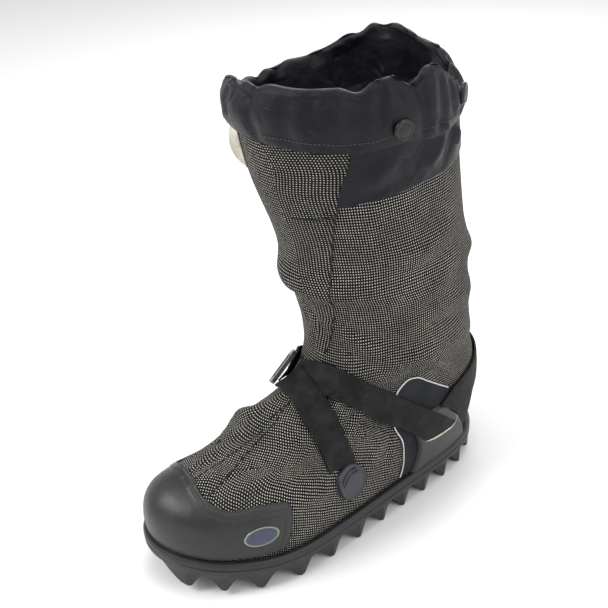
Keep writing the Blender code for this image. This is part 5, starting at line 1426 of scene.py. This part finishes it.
# The snaps: round black pressed caps with a rolled rim, riveted through the cuff.
SNAP_PROFILE = np.array([
    # share of the radius, height in mm
    (1.00, -0.6), (1.02, 0.6), (1.0, 1.5), (0.95, 2.1), (0.88, 2.4), (0.80, 2.25), (0.74, 1.95),
    (0.60, 2.2), (0.40, 2.6), (0.02, 2.8),
])
snap_black, tree, shader = new_finish("snap_black", (0.010, 0.0105, 0.012), 0.36)
place = node(tree, "ShaderNodeTexCoord").outputs["Object"]
rubbed = noise(tree, place, 350.0, 4.0)
tree.links.new(ramp(tree, rubbed, [(0.35, 0.006), (0.8, 0.018)]), shader.inputs["Base Color"])
bump(tree, shader, rubbed, 0.05 * MM)
shader.inputs["Metallic"].default_value = 0.2
for name in ("snap_front", "snap_rear"):
    low, high = np.array(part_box(name))
    row, u = find(((low + high) / 2)[None])
    out = (skin(row, u, 1.0) - skin(row, u))[0]
    cuff_points = points.reshape(-1, 3)
    beside = np.linalg.norm(np.cross(cuff_points - (low + high) / 2, out), axis=1) < 8 * MM
    facing = cuff_points[beside & ((cuff_points - (low + high) / 2) @ out > -12 * MM)]
    middle = (low + high) / 2
    middle = middle + out * (((facing - middle) @ out).max() + 0.1 * MM)
    level = np.cross((0, 0, 1), out)
    level /= np.linalg.norm(level)
    rise = np.cross(out, level)
    turns = np.arange(48) * 2 * np.pi / 48
    around = np.cos(turns)[:, None] * level + np.sin(turns)[:, None] * rise
    rings = middle + around[None] * 8 * MM * SNAP_PROFILE[:, :1, None] + out * MM * SNAP_PROFILE[:, 1:, None]
    snap = make_mesh(name + "_cap", rings, grid_faces(len(SNAP_PROFILE), 48, True))
    snap.data.materials.append(snap_black)
    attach(snap, "root")
    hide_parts(name)

# The pull loop: a folded strip of pale cotton webbing that shows below the cuff on the inner side.
pale_cotton, tree, shader = new_finish("pale_cotton", (0.60, 0.57, 0.48), 0.85)
place = node(tree, "ShaderNodeTexCoord").outputs["Object"]
soiled = noise(tree, place, 120.0, 4.0)
tree.links.new(ramp(tree, soiled, [(0.3, (0.42, 0.39, 0.31)), (0.7, (0.66, 0.63, 0.54))]),
    shader.inputs["Base Color"])
bump(tree, shader, noise(tree, place, 1200.0, 1.0), 0.2 * MM)
t, across = np.meshgrid(np.linspace(0, 1, 60), np.linspace(0, 1, 14), indexing="ij")
loop_y = (-34 + 3 * t) * MM
loop_x = (-20 - 5 * across - 2 * t) * MM
row, u = find(np.stack([loop_x, loop_y, (360 - 40 * t) * MM], -1))
loop = skin(row, u, (0.8 + across * 7.0 * np.sin(np.pi * t) ** 0.8) * MM)
pull_loop = make_mesh("pull_loop", loop, grid_faces(60, 14))
thicken = pull_loop.modifiers.new("thickness", "SOLIDIFY")
thicken.thickness = 1.2 * MM
thicken.offset = 0
pull_loop.data.materials.append(pale_cotton)
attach(pull_loop, "root")
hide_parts("flap_tab")
